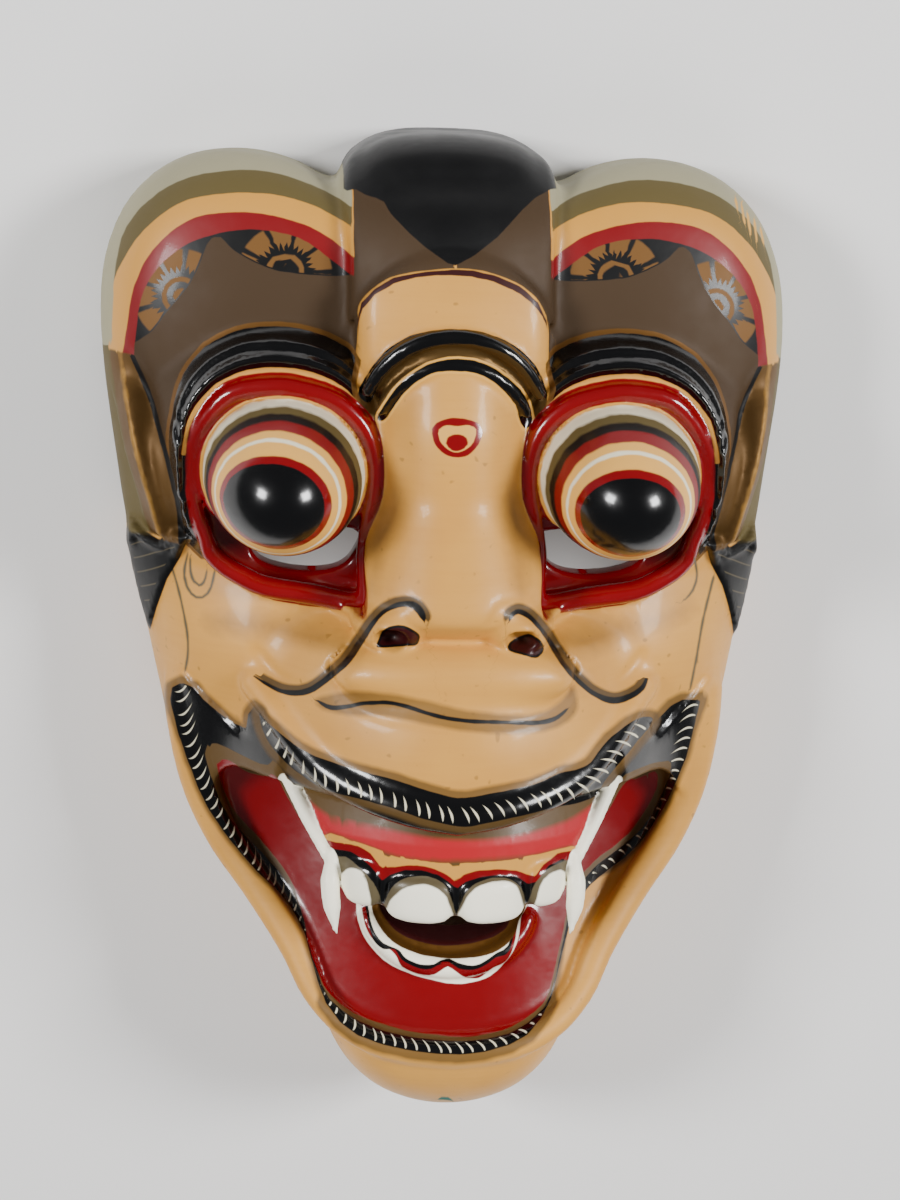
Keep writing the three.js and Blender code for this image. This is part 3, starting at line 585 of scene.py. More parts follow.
def make_mask():
    wood = carve_mask()
    field = np.concatenate([wood.field[:0:-1], wood.field])
    x = np.concatenate([-wood.x[:0:-1], wood.x])
    points, quads = surface_of(field, x, wood.y, wood.z)
    points[:, 2] = np.maximum(points[:, 2], 0)
    mesh = bpy.data.meshes.new(NODE)
    mesh.from_pydata(points.tolist(), [], quads.tolist())
    mask = bpy.data.objects.new("painted_mask", mesh)
    bpy.context.scene.collection.objects.link(mask)
    share = TRIANGLES / (2 * len(quads))
    if share < 1:
        thin = mask.modifiers.new("thin", "DECIMATE")
        thin.ratio = share
        fitted = bpy.data.meshes.new_from_object(mask.evaluated_get(bpy.context.evaluated_depsgraph_get()))
        mask.modifiers.clear()
        mask.data = fitted
        mesh = fitted
    places = np.zeros(len(mesh.vertices) * 3, np.float32)
    mesh.vertices.foreach_get("co", places)
    places = places.reshape(-1, 3).astype(float)
    placed = places.copy()
    placed[:, 0] += LEAN * (LEAN_FROM - places[:, 1]) - MIDDLE[0]
    placed[:, 1] -= MIDDLE[1]
    mesh.vertices.foreach_set("co", (placed * MM).astype(np.float32).ravel())
    mesh.shade_smooth()
    mesh.update()
    return mask, places, wood


# Painted outlines, as places in the 900 x 1200 photograph: right and down from its top left corner.
# The lobes' bands and leaf are drawn for the left side and mirrored.

LOBE_OLIVE = [
    (112, 345), (113, 300), (116, 262), (127, 225), (156, 194), (190, 177), (233, 170), (271, 172), (310, 184),
    (340, 199), (352, 208),
]
LOBE_YELLOW = [
    (124, 500), (117, 440), (111, 380), (108, 324), (113, 283), (126, 255), (144, 230), (169, 209), (195, 198), (233, 193),
    (271, 194), (310, 204), (343, 221), (352, 228),
]
LOBE_RED = [
    (140, 506), (128, 450), (120, 400), (119, 372), (124, 345), (127, 325), (132, 293), (144, 263), (162, 240), (187, 221), (215, 213), (259, 213),
    (297, 222), (322, 233), (345, 250), (354, 258),
]
LOBE_DARK = [
    (126, 372), (133, 360), (135, 342), (141, 299), (156, 270), (182, 247), (208, 236), (238, 230), (271, 231), (302, 239),
    (325, 255), (346, 271), (354, 278),
]
LEAF = [
    (136, 342), (154, 329), (167, 311), (187, 288), (200, 263), (208, 242), (219, 236), (230, 247), (246, 258),
    (274, 270), (302, 274), (330, 276), (352, 275),
]
FLOWERS = [(285, 272), (181, 296)]
PETAL_PITCH = 38
BRONZE = [
    (60, 90), (453, 90), (453, 288), (441, 276), (415, 278), (392, 285), (374, 297), (362, 310), (358, 325),
    (356, 360), (357, 400), (372, 424), (380, 440), (300, 500), (214, 548), (196, 548), (180, 540), (160, 530), (120, 512), (60, 512),
]
CROWN = [
    (326, 196), (338, 184), (347, 191), (355, 189), (366, 195), (383, 200), (390, 213), (404, 228), (426, 248),
    (453, 267), (475, 255), (500, 235), (522, 210), (535, 198), (551, 189), (566, 188), (580, 90), (320, 90),
]
CAP_LINE_TOP = [
    (358, 318), (361, 303), (373, 290), (392, 278), (419, 272.5), (453, 269.5), (475, 270.7), (497, 276), (520, 286),
    (538, 302), (547, 322),
]
FOREHEAD = [
    (355, 400), (357, 345), (359, 322), (362.4, 308.6), (374.7, 295.2), (392.5, 284), (414.8, 277.4), (441.6, 275.1),
    (468.4, 276.2), (490.8, 280.7), (513, 289.6), (531, 302), (542, 315.3), (547, 328), (549, 360), (549, 400),
    (535, 430), (450, 440), (372, 428),
]
WRINKLE_TOP = [
    (358, 393), (368, 373.4), (383.6, 353.3), (403.7, 338.8), (426, 332), (455, 329.4), (481.8, 332), (506.4, 341),
    (526.5, 355.5), (540, 373.4), (547, 395),
]
WRINKLE_TOP_INNER = [
    (543.2, 397), (532, 380), (519.8, 364.4), (499.7, 351), (472.9, 344.8), (441.6, 345.4), (417, 353.3),
    (394.7, 366.7), (379, 384.5), (370, 403),
]
WRINKLE_LOW = [
    (376.9, 418), (385.8, 402.4), (397, 386.8), (412.6, 373.4), (430.5, 363.3), (452.8, 358.8), (475.1, 361),
    (495.2, 368.9), (515.3, 384.5), (528.7, 402.4), (532, 422.5), (525, 428.7), (519.8, 420), (515.3, 404.6),
    (499.7, 386.8), (481.8, 375.6), (459.5, 371.1), (437.2, 372.2), (419.3, 380), (401.4, 395.7), (388, 415.8),
    (381.4, 421),
]
THIRD_EYE = [
    (431.6, 431.4), (436, 423.6), (446, 419.1), (457.3, 418), (470.7, 419.8), (479.6, 424.7), (482.3, 433.6),
    (478.5, 444.8), (468.4, 454.9), (456.1, 457.5), (443.9, 453.7), (436, 445.9),
]
THIRD_EYE_WHITE = [
    (438.5, 430), (446, 425.5), (457, 426), (471, 425.3), (476.2, 430.3), (472.9, 442.6), (464, 450.4), (455, 452),
    (446, 448.2), (439.4, 439.2),
]
THIRD_EYE_DOT = (456.6, 442.5, 11.2, 8.4)
WING_LEFT = [
    (249.6, 673.2, 0.3), (264.7, 682.8, 1.6), (281.1, 691.1, 2.2), (299, 693, 3), (314, 688.3, 3.3), (330.5, 676, 3),
    (347, 660.9, 3.4), (360.7, 641.7, 3.2), (371.6, 625.2, 2.4), (382.6, 612.9, 2.2), (396.3, 605.5, 2.5),
    (410, 604.1, 3.5), (418.3, 608.8, 4), (423.2, 617, 3), (424.6, 622.5, 0.8),
]
WING_RIGHT = [
    (650.5, 665, 0.3), (647.2, 677.4, 1.5), (641.8, 688.3, 2.5), (629.4, 696.6, 3), (614.3, 700.7, 3.5), (596.5, 695.2, 2.7),
    (580, 682.8, 2.5), (566.3, 667.8, 2.5), (555.4, 651.3, 2.5), (547.1, 637.6, 2.2), (537.5, 625.2, 2.2),
    (528, 615.7, 2.5), (518.3, 611.5, 2.5), (511.5, 615.6, 2.2), (508.8, 622.5, 0.5),
]
# Darker patches beside the nose bridge and below the nose wings: patina in these grooves, together with painted shade
# where shade falls in them.
PATINA_AND_SHADE = [
    [(373, 500), (380, 490), (386, 520), (384, 560), (376, 588), (368, 590), (370, 545)],
    [(508, 500), (517, 490), (524, 530), (527, 575), (522, 596), (512, 580), (506, 540)],
    [(205, 615), (250, 612), (300, 622), (345, 640), (330, 652), (270, 640), (215, 632)],
    [(560, 640), (600, 622), (650, 612), (690, 600), (690, 618), (640, 636), (590, 655)],
]
LIP_DARK = [
    (315.4, 699.3, 1), (330.5, 707.5, 2.4), (349.7, 706.1, 2.2), (363.4, 703.4, 2), (388, 702.6, 2), (407.3, 706.7, 2.2),
    (426.5, 713, 2.2), (448.4, 718.5, 2), (470.4, 721.2, 2.2), (492.3, 722, 2), (517, 722.6, 2), (539, 722.6, 2.5),
    (555.4, 718.5, 2.5), (569, 707.5, 1),
]
LIP_SHADE = [
    (315.4, 699.3), (333.2, 693.8), (355.2, 691.1), (382.6, 693), (404.5, 696.5), (432, 702), (459.4, 708.9),
    (486.8, 713), (519.7, 714.9), (544.4, 711.6), (563.6, 697.9), (571.8, 685), (576.7, 695.2), (577.3, 708.9),
    (569, 721.2), (547.1, 730.8), (514.2, 734.1), (473.1, 732.2), (437.4, 726.7), (404.5, 719.9), (377.1, 715.7),
    (349.7, 715.7), (322.3, 708.9),
]
NOSTRIL_LEFT = [
    (377, 647.5), (378.5, 639), (384, 629.4), (396.3, 625.2), (408.7, 627.2), (418.3, 633.5), (419.6, 639),
    (415.5, 645.3), (396.3, 646.5),
]
NOSTRIL_RIGHT = [
    (507.4, 645.8), (514.2, 639), (528, 634), (538.9, 639), (543.9, 645.8), (541.7, 654), (534.8, 658.2),
    (525.2, 655.4), (510.1, 651.3),
]
OUTER_MARKS = [
    [(188, 552), (184, 575), (190, 592), (200, 598), (210, 590), (215, 570)],
    [(190, 556), (191, 574), (197, 585), (204, 582), (207, 570)],
    [(694, 556), (697, 575), (693, 590), (684, 601)],
    [(163, 545), (176, 580), (186, 625), (188, 650), (185, 672)],
    [(714, 575), (703, 620), (697, 655), (690, 690)],
]
CHIPS = [
    [(735, 196), (738, 212)], [(741, 202), (745, 224)], [(747, 211), (751, 236)], [(754, 218), (757, 243)],
    [(760, 226), (764, 246)],
]
SPECKS = [
    [(438, 1099, 1.4), (446, 1098, 1.6), (453, 1101, 1.2)], [(443, 1106, 1.2), (449, 1107, 1.3)],
]
MOUSTACHE = [
    (259, 712), (266, 721), (286, 738), (308, 753), (332, 762), (356, 770), (392, 779), (429, 791), (459, 798),
    (487, 794), (532, 785), (560, 773), (575, 770), (589, 764), (598, 752), (608, 740), (621.6, 728.7), (633.3, 720.6),
    (645, 716.6), (653, 718.4), (648, 728.7), (639, 739), (629, 752), (618.7, 764), (610, 774), (602.5, 784.4),
    (596.7, 795), (582, 802), (555, 807.5), (521, 816), (487, 823), (464, 827), (427, 820), (395, 809), (360, 799),
    (329, 791), (307.6, 779.4), (285.8, 762.4), (271, 745.5), (262, 728),
]
MOUSTACHE_LINE = [
    (262, 716), (276, 740), (297, 762), (320, 775), (344, 783), (375, 791), (410, 803), (445, 811), (466, 812),
    (487, 809), (521, 801), (556, 792), (580, 785), (598, 770), (612, 752), (630, 733), (650, 718),
]
JAW_BLACK = [
    (170, 700), (171.8, 687.3), (181.5, 682.4), (193.6, 687.3), (203.3, 699.4), (220.3, 714), (234.8, 723.6),
    (246, 728.5), (248.2, 714), (254.2, 706.7), (260.3, 711.5), (266.4, 726), (276, 745), (300, 775), (340, 790),
    (464, 822), (585, 795), (612, 772), (624.5, 765.3), (634.8, 749.2), (646.5, 733), (659.8, 717), (671.5, 705.2),
    (683.2, 699.3), (696.4, 700), (700.8, 698), (697.2, 714), (692, 736), (686.2, 758), (677.4, 778.6), (667, 802),
    (655.4, 821), (642, 840.2), (624.5, 857.8), (608.4, 869.5), (592.3, 882.7), (579, 898.8), (571, 916), (567, 935),
    (562, 955), (556, 980), (551, 998.7), (541.7, 1017), (528, 1034.3), (509.6, 1044.7), (486.6, 1051.6),
    (463.7, 1054.5), (436, 1053.9), (408.6, 1050.4), (383.3, 1044.7), (358, 1035.5), (339.7, 1021.7), (325.9, 1003.3),
    (317.5, 980.4), (311, 958), (305, 934), (297, 918.4), (288, 902.3), (277, 890), (256.7, 871.5), (239.7, 852),
    (222.7, 830.3), (208.2, 808.5), (198.5, 789), (191.2, 769.7), (184, 750.3), (176.7, 728.5),
]
JAW_INNER = [
    (273.6, 758.8), (268.8, 764.8), (259, 763.6), (247, 757.6), (230, 749), (215.5, 743), (207, 744.2), (204.5, 752.7),
    (208.2, 767.3), (213, 781.8), (220.3, 801.2), (230, 818.2), (247, 837.6), (261.5, 852), (278.5, 871.5), (291, 889),
    (300.7, 909.2), (308, 932), (314, 957), (321, 982.7), (329.4, 998.7), (342, 1010.2), (360.3, 1021.7),
    (383.3, 1030.9), (408.6, 1036.6), (436, 1040), (463.7, 1041.2), (486.6, 1039), (509.6, 1033.2), (528, 1022.9),
    (544, 1008), (551, 994), (556, 975), (561, 950), (567, 920.7), (571.5, 902.3), (578.4, 886.3), (592, 869),
    (608.4, 856.3), (626, 843), (642.1, 828.4), (653.9, 810.8), (661.2, 794.7), (668.6, 778.6), (671.5, 765.3),
    (670, 760.2), (655.4, 762.4), (642.1, 766.8), (626, 774.2), (610, 790), (560, 830), (460, 850), (340, 830),
    (290, 780),
]
JAW_RED = [
    (278.5, 779.4), (266.4, 777), (247, 772), (230, 761), (218, 760), (216.7, 764), (222.7, 786.7), (234.8, 811),
    (254.2, 832.7), (271.2, 852), (285.8, 871.5), (295, 890), (304, 920.7), (310.5, 950.5), (318.5, 973.5),
    (326.5, 989.6), (339.7, 1003.3), (358, 1014.8), (383.3, 1024), (408.6, 1030.9), (440.7, 1035.5), (468.2, 1036.6),
    (491.2, 1033.2), (511.9, 1026.3), (530.2, 1014.8), (543, 1003.3), (551, 985), (558, 955), (564.5, 925),
    (573, 887.1), (583.5, 872.4), (598.1, 857.8), (614.3, 846), (630.4, 831.4), (642.1, 815.2), (653.9, 794.7),
    (657.6, 781.5), (656, 771.2), (648, 773.4), (636.3, 779.3), (623, 784.4), (560, 850), (340, 850),
]
JAW_LINE = [
    (182, 684), (186, 715), (196, 757), (206, 785), (220, 812), (234, 834), (252, 856), (270, 876), (285, 894),
    (297, 914), (305, 934), (312, 958), (320, 982), (332, 1004), (348, 1019), (371, 1033), (396, 1040.5), (422, 1046),
    (450, 1048), (475, 1046.5), (500, 1041), (519, 1033), (535, 1018), (547, 1001), (555, 978), (562, 950),
    (569, 919), (576, 898), (587, 880), (602, 865), (618, 851), (636, 834), (650, 815), (662, 794), (672, 772),
    (680, 752), (687, 726), (693, 700),
]
PINK = [
    (296, 796), (305.3, 799), (325.9, 814), (348.9, 820.8), (376.4, 826.6), (406.3, 833.5), (440.7, 839.2),
    (475, 840.3), (509.6, 836.9), (544, 828.9), (573.9, 817.4), (594, 804), (610, 800), (590, 850), (571.5, 846),
    (539.4, 854), (509.6, 859.9), (475, 862.6), (445.3, 863.3), (417.7, 859.9), (394.8, 855.3), (371.8, 847.2),
    (348.9, 839.2), (330, 833), (316, 838),
]
GUM_GOLD = [
    (316, 838), (330, 833), (348.9, 839.2), (371.8, 847.2), (394.8, 855.3), (417.7, 859.9), (445.3, 863.3),
    (475, 862.6), (509.6, 859.9), (539.4, 854), (571.5, 846), (590, 850), (590, 940), (316, 940),
]
GUM_RED = [
    (320, 838), (336.2, 842.6), (355.8, 845), (369.5, 851.8), (376.4, 861), (381, 867.9), (390, 867.9), (401.7, 866),
    (417.7, 865), (436, 869), (447.6, 874.8), (455.6, 881.7), (463.7, 874.8), (479.7, 870.2), (498, 869),
    (516.5, 870.2), (528, 874.8), (534.8, 876), (544, 864.5), (557.8, 853), (570, 850.7), (600, 850), (600, 950),
    (310, 950),
]
GUM_BLACK = [
    (320, 846), (337.4, 849.5), (351.2, 851.8), (362.6, 858.7), (374, 870.2), (382, 880.5), (390, 874.8), (404, 870.2),
    (420, 869.7), (438.4, 874.8), (450, 882.8), (456.8, 888.6), (466, 881.7), (482, 876.6), (498, 874.8),
    (516.5, 876), (528, 884), (537, 881.7), (548.6, 865.6), (562.4, 858.7), (568, 861), (600, 862), (600, 950),
    (310, 950),
]
TOOTH_SHADE = [
    [(339, 857), (346, 857), (357, 865), (368, 876), (378, 891), (381, 907), (370, 912), (332, 900), (332, 857)],
    [(384, 925), (384.5, 903), (390, 890), (399, 881), (412, 876.5), (428, 876.5), (441, 882), (449, 893), (452, 925)],
    [(459.5, 925), (461.5, 903), (469, 889), (481, 881), (497, 877.5), (512, 880), (522, 889), (525, 903), (525, 925)],
    [(529.5, 915), (531, 893), (539, 878), (551, 867), (562, 862), (575, 862), (575, 910)],
]
TOOTH_WHITE = [
    [(338, 893), (339, 880), (343, 872.5), (351, 868), (362.6, 872.5), (368.4, 888.6), (370.7, 904.6), (368, 914), (330, 905)],
    [(387.4, 907), (394.8, 895.4), (408.6, 886.7), (426.9, 885), (440.7, 890.9), (448.2, 902.3), (449.9, 925), (387, 925)],
    [(459, 925), (463.7, 904.6), (475, 888.6), (493.5, 882), (509.6, 882), (518.8, 890.9), (521, 925)],
    [(537, 915), (537, 897.7), (544, 879.4), (557.8, 870.2), (566, 873), (578, 880), (578, 915)],
]
LOWER_CREAM = [
    (355.8, 898), (358, 920.7), (367.2, 941.4), (383.3, 959.7), (404, 971.2), (429.2, 979.2), (454.5, 983.8),
    (475, 981.5), (490, 975.8), (505, 962), (516.5, 943.7), (521, 916), (521, 885), (355, 885),
]
LOWER_RED = [
    (360, 898), (365, 925), (374, 941), (388, 948), (396, 956), (401.7, 966.6), (417.7, 974), (431.5, 975.5),
    (440, 971), (446, 966.6), (452, 968.5), (463.7, 977), (477.4, 978.5), (485, 974), (493.5, 967.8), (505, 962),
    (514, 946), (518, 916), (518, 885), (360, 885),
]
LOWER_BLACK = [
    (364, 898), (369.5, 927.6), (374, 941.4), (383.3, 949), (394.8, 949.5), (401.7, 959.7), (417.7, 967.8),
    (431.5, 968.9), (445.3, 960.5), (456.8, 967.8), (472.8, 970), (486.6, 964.3), (495.8, 957.5), (509.6, 950.5),
    (516, 916), (516, 885), (364, 885),
]
LOWER_TEETH = [
    (367, 898), (372, 925), (380, 940), (390, 946), (399, 950), (406, 958), (420, 964), (434, 964), (446, 957.5),
    (459, 963), (473, 965.5), (485, 961), (496, 953), (508, 945), (515, 916), (515, 885), (367, 885),
]
LOWER_GOLD = [
    (371.8, 898), (372, 909.2), (378.7, 925.3), (392.5, 941.4), (408.6, 950.5), (429.2, 956.3), (452, 958.6),
    (475, 957.4), (493.5, 952.8), (509.6, 941.4), (518.8, 920.7), (519, 885), (371.8, 885),
]
# Maroon over the walls of the throat opening: a painted shadow, the dark of the hollow seen through the hole.
LOWER_HOLE_SHADOW = [
    (380, 898), (381, 911.5), (394.8, 929.9), (417.7, 941.4), (445.3, 946), (475, 942.5), (498, 934.5), (509.6, 920.7),
    (512, 885), (380, 885),
]

COLOURS = {
    "cream": (204, 148, 68), "bronze": (60, 43, 24), "gold": (104, 70, 28), "gilt": (92, 66, 32),
    "red": (116, 4, 12), "pink": (166, 26, 34), "black": (5, 5, 6), "olive": (88, 76, 42), "grey": (150, 144, 116),
    "yellow": (196, 140, 58), "tan": (214, 160, 76), "tooth": (255, 250, 228), "white": (222, 214, 186),
    "maroon": (46, 6, 8), "shade": (84, 62, 30), "wood": (140, 96, 56), "dusk": (86, 76, 54),
    "patina_and_shade": (88, 58, 24), "verdigris": (50, 110, 100),
}
# roughness, metalness and clear lacquer
GLOSS = {
    "satin": (0.46, 0, 0.1), "matte": (0.62, 0.05, 0), "metal": (0.42, 0.65, 0), "enamel": (0.22, 0, 0.5),
    "dull": (0.8, 0, 0), "leaf": (0.56, 0.4, 0),
}


def picture(points):
    """Where carved points, in millimetres, are seen in the photograph."""
    pitch, yaw, roll = (math.radians(a) for a in (CAMERA_PITCH, CAMERA_YAW, CAMERA_ROLL))
    away = np.array([-math.sin(yaw) * math.cos(pitch), math.sin(pitch), math.cos(yaw) * math.cos(pitch)])
    right = np.cross(-away, (0, 1, 0))
    right /= np.linalg.norm(right)
    up = np.cross(right, -away)
    seen_right = right * math.cos(roll) - up * math.sin(roll)
    seen_up = right * math.sin(roll) + up * math.cos(roll)
    leaned = np.array(points, float)
    leaned[:, 0] += LEAN * (LEAN_FROM - leaned[:, 1])
    ray = leaned - (np.array(CAMERA_AIM) + away * CAMERA_DISTANCE)
    depth = -(ray @ away)
    u = PHOTO_WIDTH / 2 + FOCAL_PIXELS * (ray @ seen_right) / depth
    v = PHOTO_HEIGHT / 2 - FOCAL_PIXELS * (ray @ seen_up) / depth
    return u, v


PIXEL = CAMERA_DISTANCE / FOCAL_PIXELS  # the width of a photograph's pixel on the mask, in millimetres


def follow(line, u, v):
    """Length along a line, distance to its side and its own third value, for the nearest place on it."""
    line = np.array(line, float)
    steps = np.hypot(*np.diff(line[:, :2], axis=0).T)
    starts = np.concatenate([[0], np.cumsum(steps)])
    nearest = np.full(len(u), 1e9)
    along, side, value = np.zeros(len(u)), np.full(len(u), 1e3), np.zeros(len(u))
    for i, (a, b) in enumerate(zip(line, line[1:])):
        d = (b - a)[:2] / steps[i]
        t = np.clip((u - a[0]) * d[0] + (v - a[1]) * d[1], 0, steps[i])
        away = np.hypot(u - a[0] - t * d[0], v - a[1] - t * d[1])
        better = away < nearest
        nearest = np.where(better, away, nearest)
        turn = np.sign((u - a[0]) * d[1] - (v - a[1]) * d[0])
        side = np.where(better, away * turn, side)
        along = np.where(better, starts[i] + t, along)
        if line.shape[1] > 2:
            value = np.where(better, a[2] + (b[2] - a[2]) * t / steps[i], value)
    return along, side, value


class Nodes:
    """Builds one material's nodes. A value is a number, a colour or another node's output."""

    def __init__(self, name):
        self.material = bpy.data.materials.new(name)
        self.material.use_nodes = True
        self.nodes = self.material.node_tree.nodes
        self.links = self.material.node_tree.links
        self.place = self.nodes.new("ShaderNodeTexCoord").outputs["Object"]
        self.hand = self.math("SUBTRACT", self.noise(260, 1), 0.5)
        self.cloud = self.math("MULTIPLY_ADD", self.noise(38, 3), 2.6, -1.0, clamp=True)
        self.grain = self.noise(150, 2)

    def link(self, value, socket):
        if isinstance(value, bpy.types.NodeSocket):
            self.links.new(value, socket)
        elif hasattr(value, "__len__"):
            socket.default_value = (*value, 1)
        else:
            socket.default_value = value

    def math(self, operation, *values, clamp=False):
        node = self.nodes.new("ShaderNodeMath")
        node.operation = operation
        node.use_clamp = clamp
        for value, socket in zip(values, node.inputs):
            self.link(value, socket)
        return node.outputs[0]

    def mix(self, share, a, b):
        node = self.nodes.new("ShaderNodeMix")
        node.data_type = "RGBA"
        self.link(share, node.inputs[0])
        self.link(a, node.inputs[6])
        self.link(b, node.inputs[7])
        return node.outputs[2]

    def noise(self, scale, detail=2, stretch=None):
        node = self.nodes.new("ShaderNodeTexNoise")
        node.inputs["Scale"].default_value = scale
        node.inputs["Detail"].default_value = detail
        place = self.place
        if stretch:
            mapping = self.nodes.new("ShaderNodeMapping")
            mapping.inputs["Scale"].default_value = stretch
            self.links.new(place, mapping.inputs["Vector"])
            place = mapping.outputs[0]
        self.links.new(place, node.inputs["Vector"])
        return node.outputs["Fac"]

    def read(self, name):
        node = self.nodes.new("ShaderNodeAttribute")
        node.attribute_name = name
        return node.outputs["Fac"]

    def edge(self, name, width, hand):
        """One under a coat and nought beside it, with an edge drawn by hand."""
        wobbled = self.math("MULTIPLY_ADD", self.hand, hand, self.read(name))
        return self.math("MULTIPLY_ADD", wobbled, -1 / width, 0.5, clamp=True)

    def mottled(self, colour):
        """A coat with cloudy thin and thick places, fine brush lines and a few specks."""
        dark = tuple(c * f for c, f in zip(colour, (0.8, 0.72, 0.6)))
        brushed = self.math("MULTIPLY_ADD", self.noise(55, 2, (1, 14, 1)), 3, -1.35, clamp=True)
        specks = self.math("MULTIPLY_ADD", self.noise(420, 0), 14, -11, clamp=True)
        mixed = self.mix(self.math("MULTIPLY", self.cloud, 0.55), colour, dark)
        mixed = self.mix(self.math("MULTIPLY", brushed, 0.16), mixed, dark)
        return self.mix(self.math("MULTIPLY", specks, 0.5), mixed, tuple(c * 0.35 for c in colour))

    def finish(self, colour, gloss):
        shader = self.nodes["Principled BSDF"]
        self.link(colour, shader.inputs["Base Color"])
        if isinstance(gloss, tuple):
            for value, name in zip(gloss, ("Roughness", "Metallic", "Coat Weight")):
                shader.inputs[name].default_value = value
        else:
            parts = self.nodes.new("ShaderNodeSeparateColor")
            self.links.new(gloss, parts.inputs[0])
            rough = self.math("MULTIPLY_ADD", self.grain, 0.16, -0.08)
            self.links.new(self.math("ADD", parts.outputs[0], rough), shader.inputs["Roughness"])
            self.links.new(parts.outputs[1], shader.inputs["Metallic"])
            self.links.new(parts.outputs[2], shader.inputs["Coat Weight"])
        shader.inputs["Coat Roughness"].default_value = 0.12
        shader.inputs["Specular IOR Level"].default_value = 0.3
        bump = self.nodes.new("ShaderNodeBump")
        bump.inputs["Strength"].default_value = 0.25
        bump.inputs["Distance"].default_value = 0.0004
        self.links.new(self.grain, bump.inputs["Height"])
        self.links.new(bump.outputs[0], shader.inputs["Normal"])
        return self.material


class Paint:
    """Coats of paint in their order, over fields in millimetres that are negative where a coat lies."""

    def __init__(self, mesh, places, wood):
        self.mesh = mesh
        self.places = places
        self.u, self.v = picture(places)
        left = places * (-1, 1, 1)
        left[places[:, 0] < 0] = places[places[:, 0] < 0]
        self.left_u, self.left_v = picture(left)
        self.x, self.y, self.z = np.abs(places[:, 0]), places[:, 1], places[:, 2]
        self.parts = wood.parts
        self.coats = []

    def field(self, values):
        """Stores values on the vertices and gives their name."""
        name = f"paint_{len(self.mesh.attributes):03d}"
        data = self.mesh.attributes.new(name, "FLOAT", "POINT")
        data.data.foreach_set("value", np.clip(values, -1e3, 1e3).astype(np.float32))
        return name

    def coat(self, values, colour, gloss, width=0.3, hand=0.5, strength=1, pattern=None):
        name = self.field(values)

        def share(nodes):
            edge = nodes.edge(name, width, hand)
            return nodes.math("MULTIPLY", edge, pattern(nodes) if pattern else strength)

        self.coats.append((values - width / 2, share, colour, gloss, strength == 1 and not pattern))

    def draw(self, line, colour, gloss, shift=0.0, soft=0.35, limit=None):
        """A brush line. Its signed offset is stored, so that thin lines stay whole between vertices."""
        along, side, width = follow(smooth_line(line, pieces=4), self.u, self.v)
        ends = np.clip(np.maximum(6 - along, along - along.max() + 6) / 6, 0, 1)
        width = width * PIXEL * np.sqrt(1 - ends**2)
        if limit is not None:
            width = np.where(limit > 0, -5, width)
        offset = np.clip((side - shift) * PIXEL, -20, 20)
        names = self.field(offset), self.field(width)

        def share(nodes):
            off = nodes.math("ABSOLUTE", nodes.read(names[0]))
            half = nodes.math("MULTIPLY_ADD", nodes.hand, 0.35, nodes.read(names[1]))
            return nodes.math("MULTIPLY_ADD", nodes.math("SUBTRACT", half, off), 1 / soft, 0.5, clamp=True)

        self.coats.append((np.abs(offset) - width, share, colour, gloss, False))

    def closed(self, outline, left=False, round_off=True):
        u, v = (self.left_u, self.left_v) if left else (self.u, self.v)
        if round_off:
            outline = smooth_line(outline, closed=True, pieces=3)
        low, high = np.min(outline, 0) - 25, np.max(outline, 0) + 25
        near = (u > low[0]) & (u < high[0]) & (v > low[1]) & (v < high[1])
        values = np.full(len(u), 30.0)
        values[near] = outline_distance(outline, u[near], v[near]) * PIXEL
        return values

    def beyond(self, line, corners):
        """The side of an open line on the left lobe that the corners close off."""
        return self.closed(list(smooth_line(line, pieces=3)) + corners, left=True, round_off=False)

    def part(self, name, reach=0.5):
        return self.parts[name](self.x, self.y, self.z) - reach

    def strokes(self, line, pitch, slant, width, low, high, bend, band):
        """Short hair strokes across a band that follows a line, as a pattern."""
        along, side, _ = follow(smooth_line(line, pieces=4), self.u, self.v)
        names = self.field(side / band), self.field(along / pitch)
        span = (high - low) / 2

        def pattern(nodes):
            across, along = nodes.read(names[0]), nodes.read(names[1])
            curve = nodes.math("MULTIPLY", nodes.math("MULTIPLY", across, across), bend / pitch)
            phase = nodes.math("ADD", along, nodes.math("MULTIPLY_ADD", across, slant / pitch, curve))
            cell = nodes.math("FLOOR", phase)
            jitter = nodes.nodes.new("ShaderNodeTexWhiteNoise")
            jitter.noise_dimensions = "1D"
            nodes.links.new(cell, jitter.inputs["W"])
            middle = nodes.math("MULTIPLY_ADD", jitter.outputs["Value"], 0.3, 0.35)
            off = nodes.math("ABSOLUTE", nodes.math("SUBTRACT", nodes.math("SUBTRACT", phase, cell), middle))
            place = nodes.math("MULTIPLY_ADD", across, 1 / span, -(low + high) / 2 / span)
            half = nodes.math("MULTIPLY", nodes.math("MULTIPLY", place, place), -width / pitch)
            half = nodes.math("ADD", half, width / pitch)
            return nodes.math("MULTIPLY_ADD", nodes.math("SUBTRACT", half, off), pitch, 0.4, clamp=True)

        return pattern

    def material(self, name, zone):
        """A material for some of the vertices, with only the coats that reach them."""
        nodes = Nodes(name)
        colour, gloss = linear(COLOURS["wood"]), GLOSS["dull"]
        wanted = [coat for coat in self.coats if coat[0][zone].min() < 1]
        covers = [i for i, coat in enumerate(wanted) if coat[4] and coat[0][zone].max() < -1]
        wanted = wanted[covers[-1]:] if covers else wanted
        cream = None
        for _, share, paint, sheen, _ in wanted:
            if paint == "cream":
                cream = cream or nodes.mottled(linear(COLOURS["cream"]))
                fresh = cream
            else:
                fresh = linear(COLOURS[paint])
            part = share(nodes)
            colour = nodes.mix(part, colour, fresh)
            gloss = nodes.mix(part, gloss, GLOSS[sheen])
        return nodes.finish(colour, gloss)


def linear(colour):
    return tuple((c / 255 / 12.92) if c <= 10 else ((c / 255 + 0.055) / 1.055) ** 2.4 for c in colour)


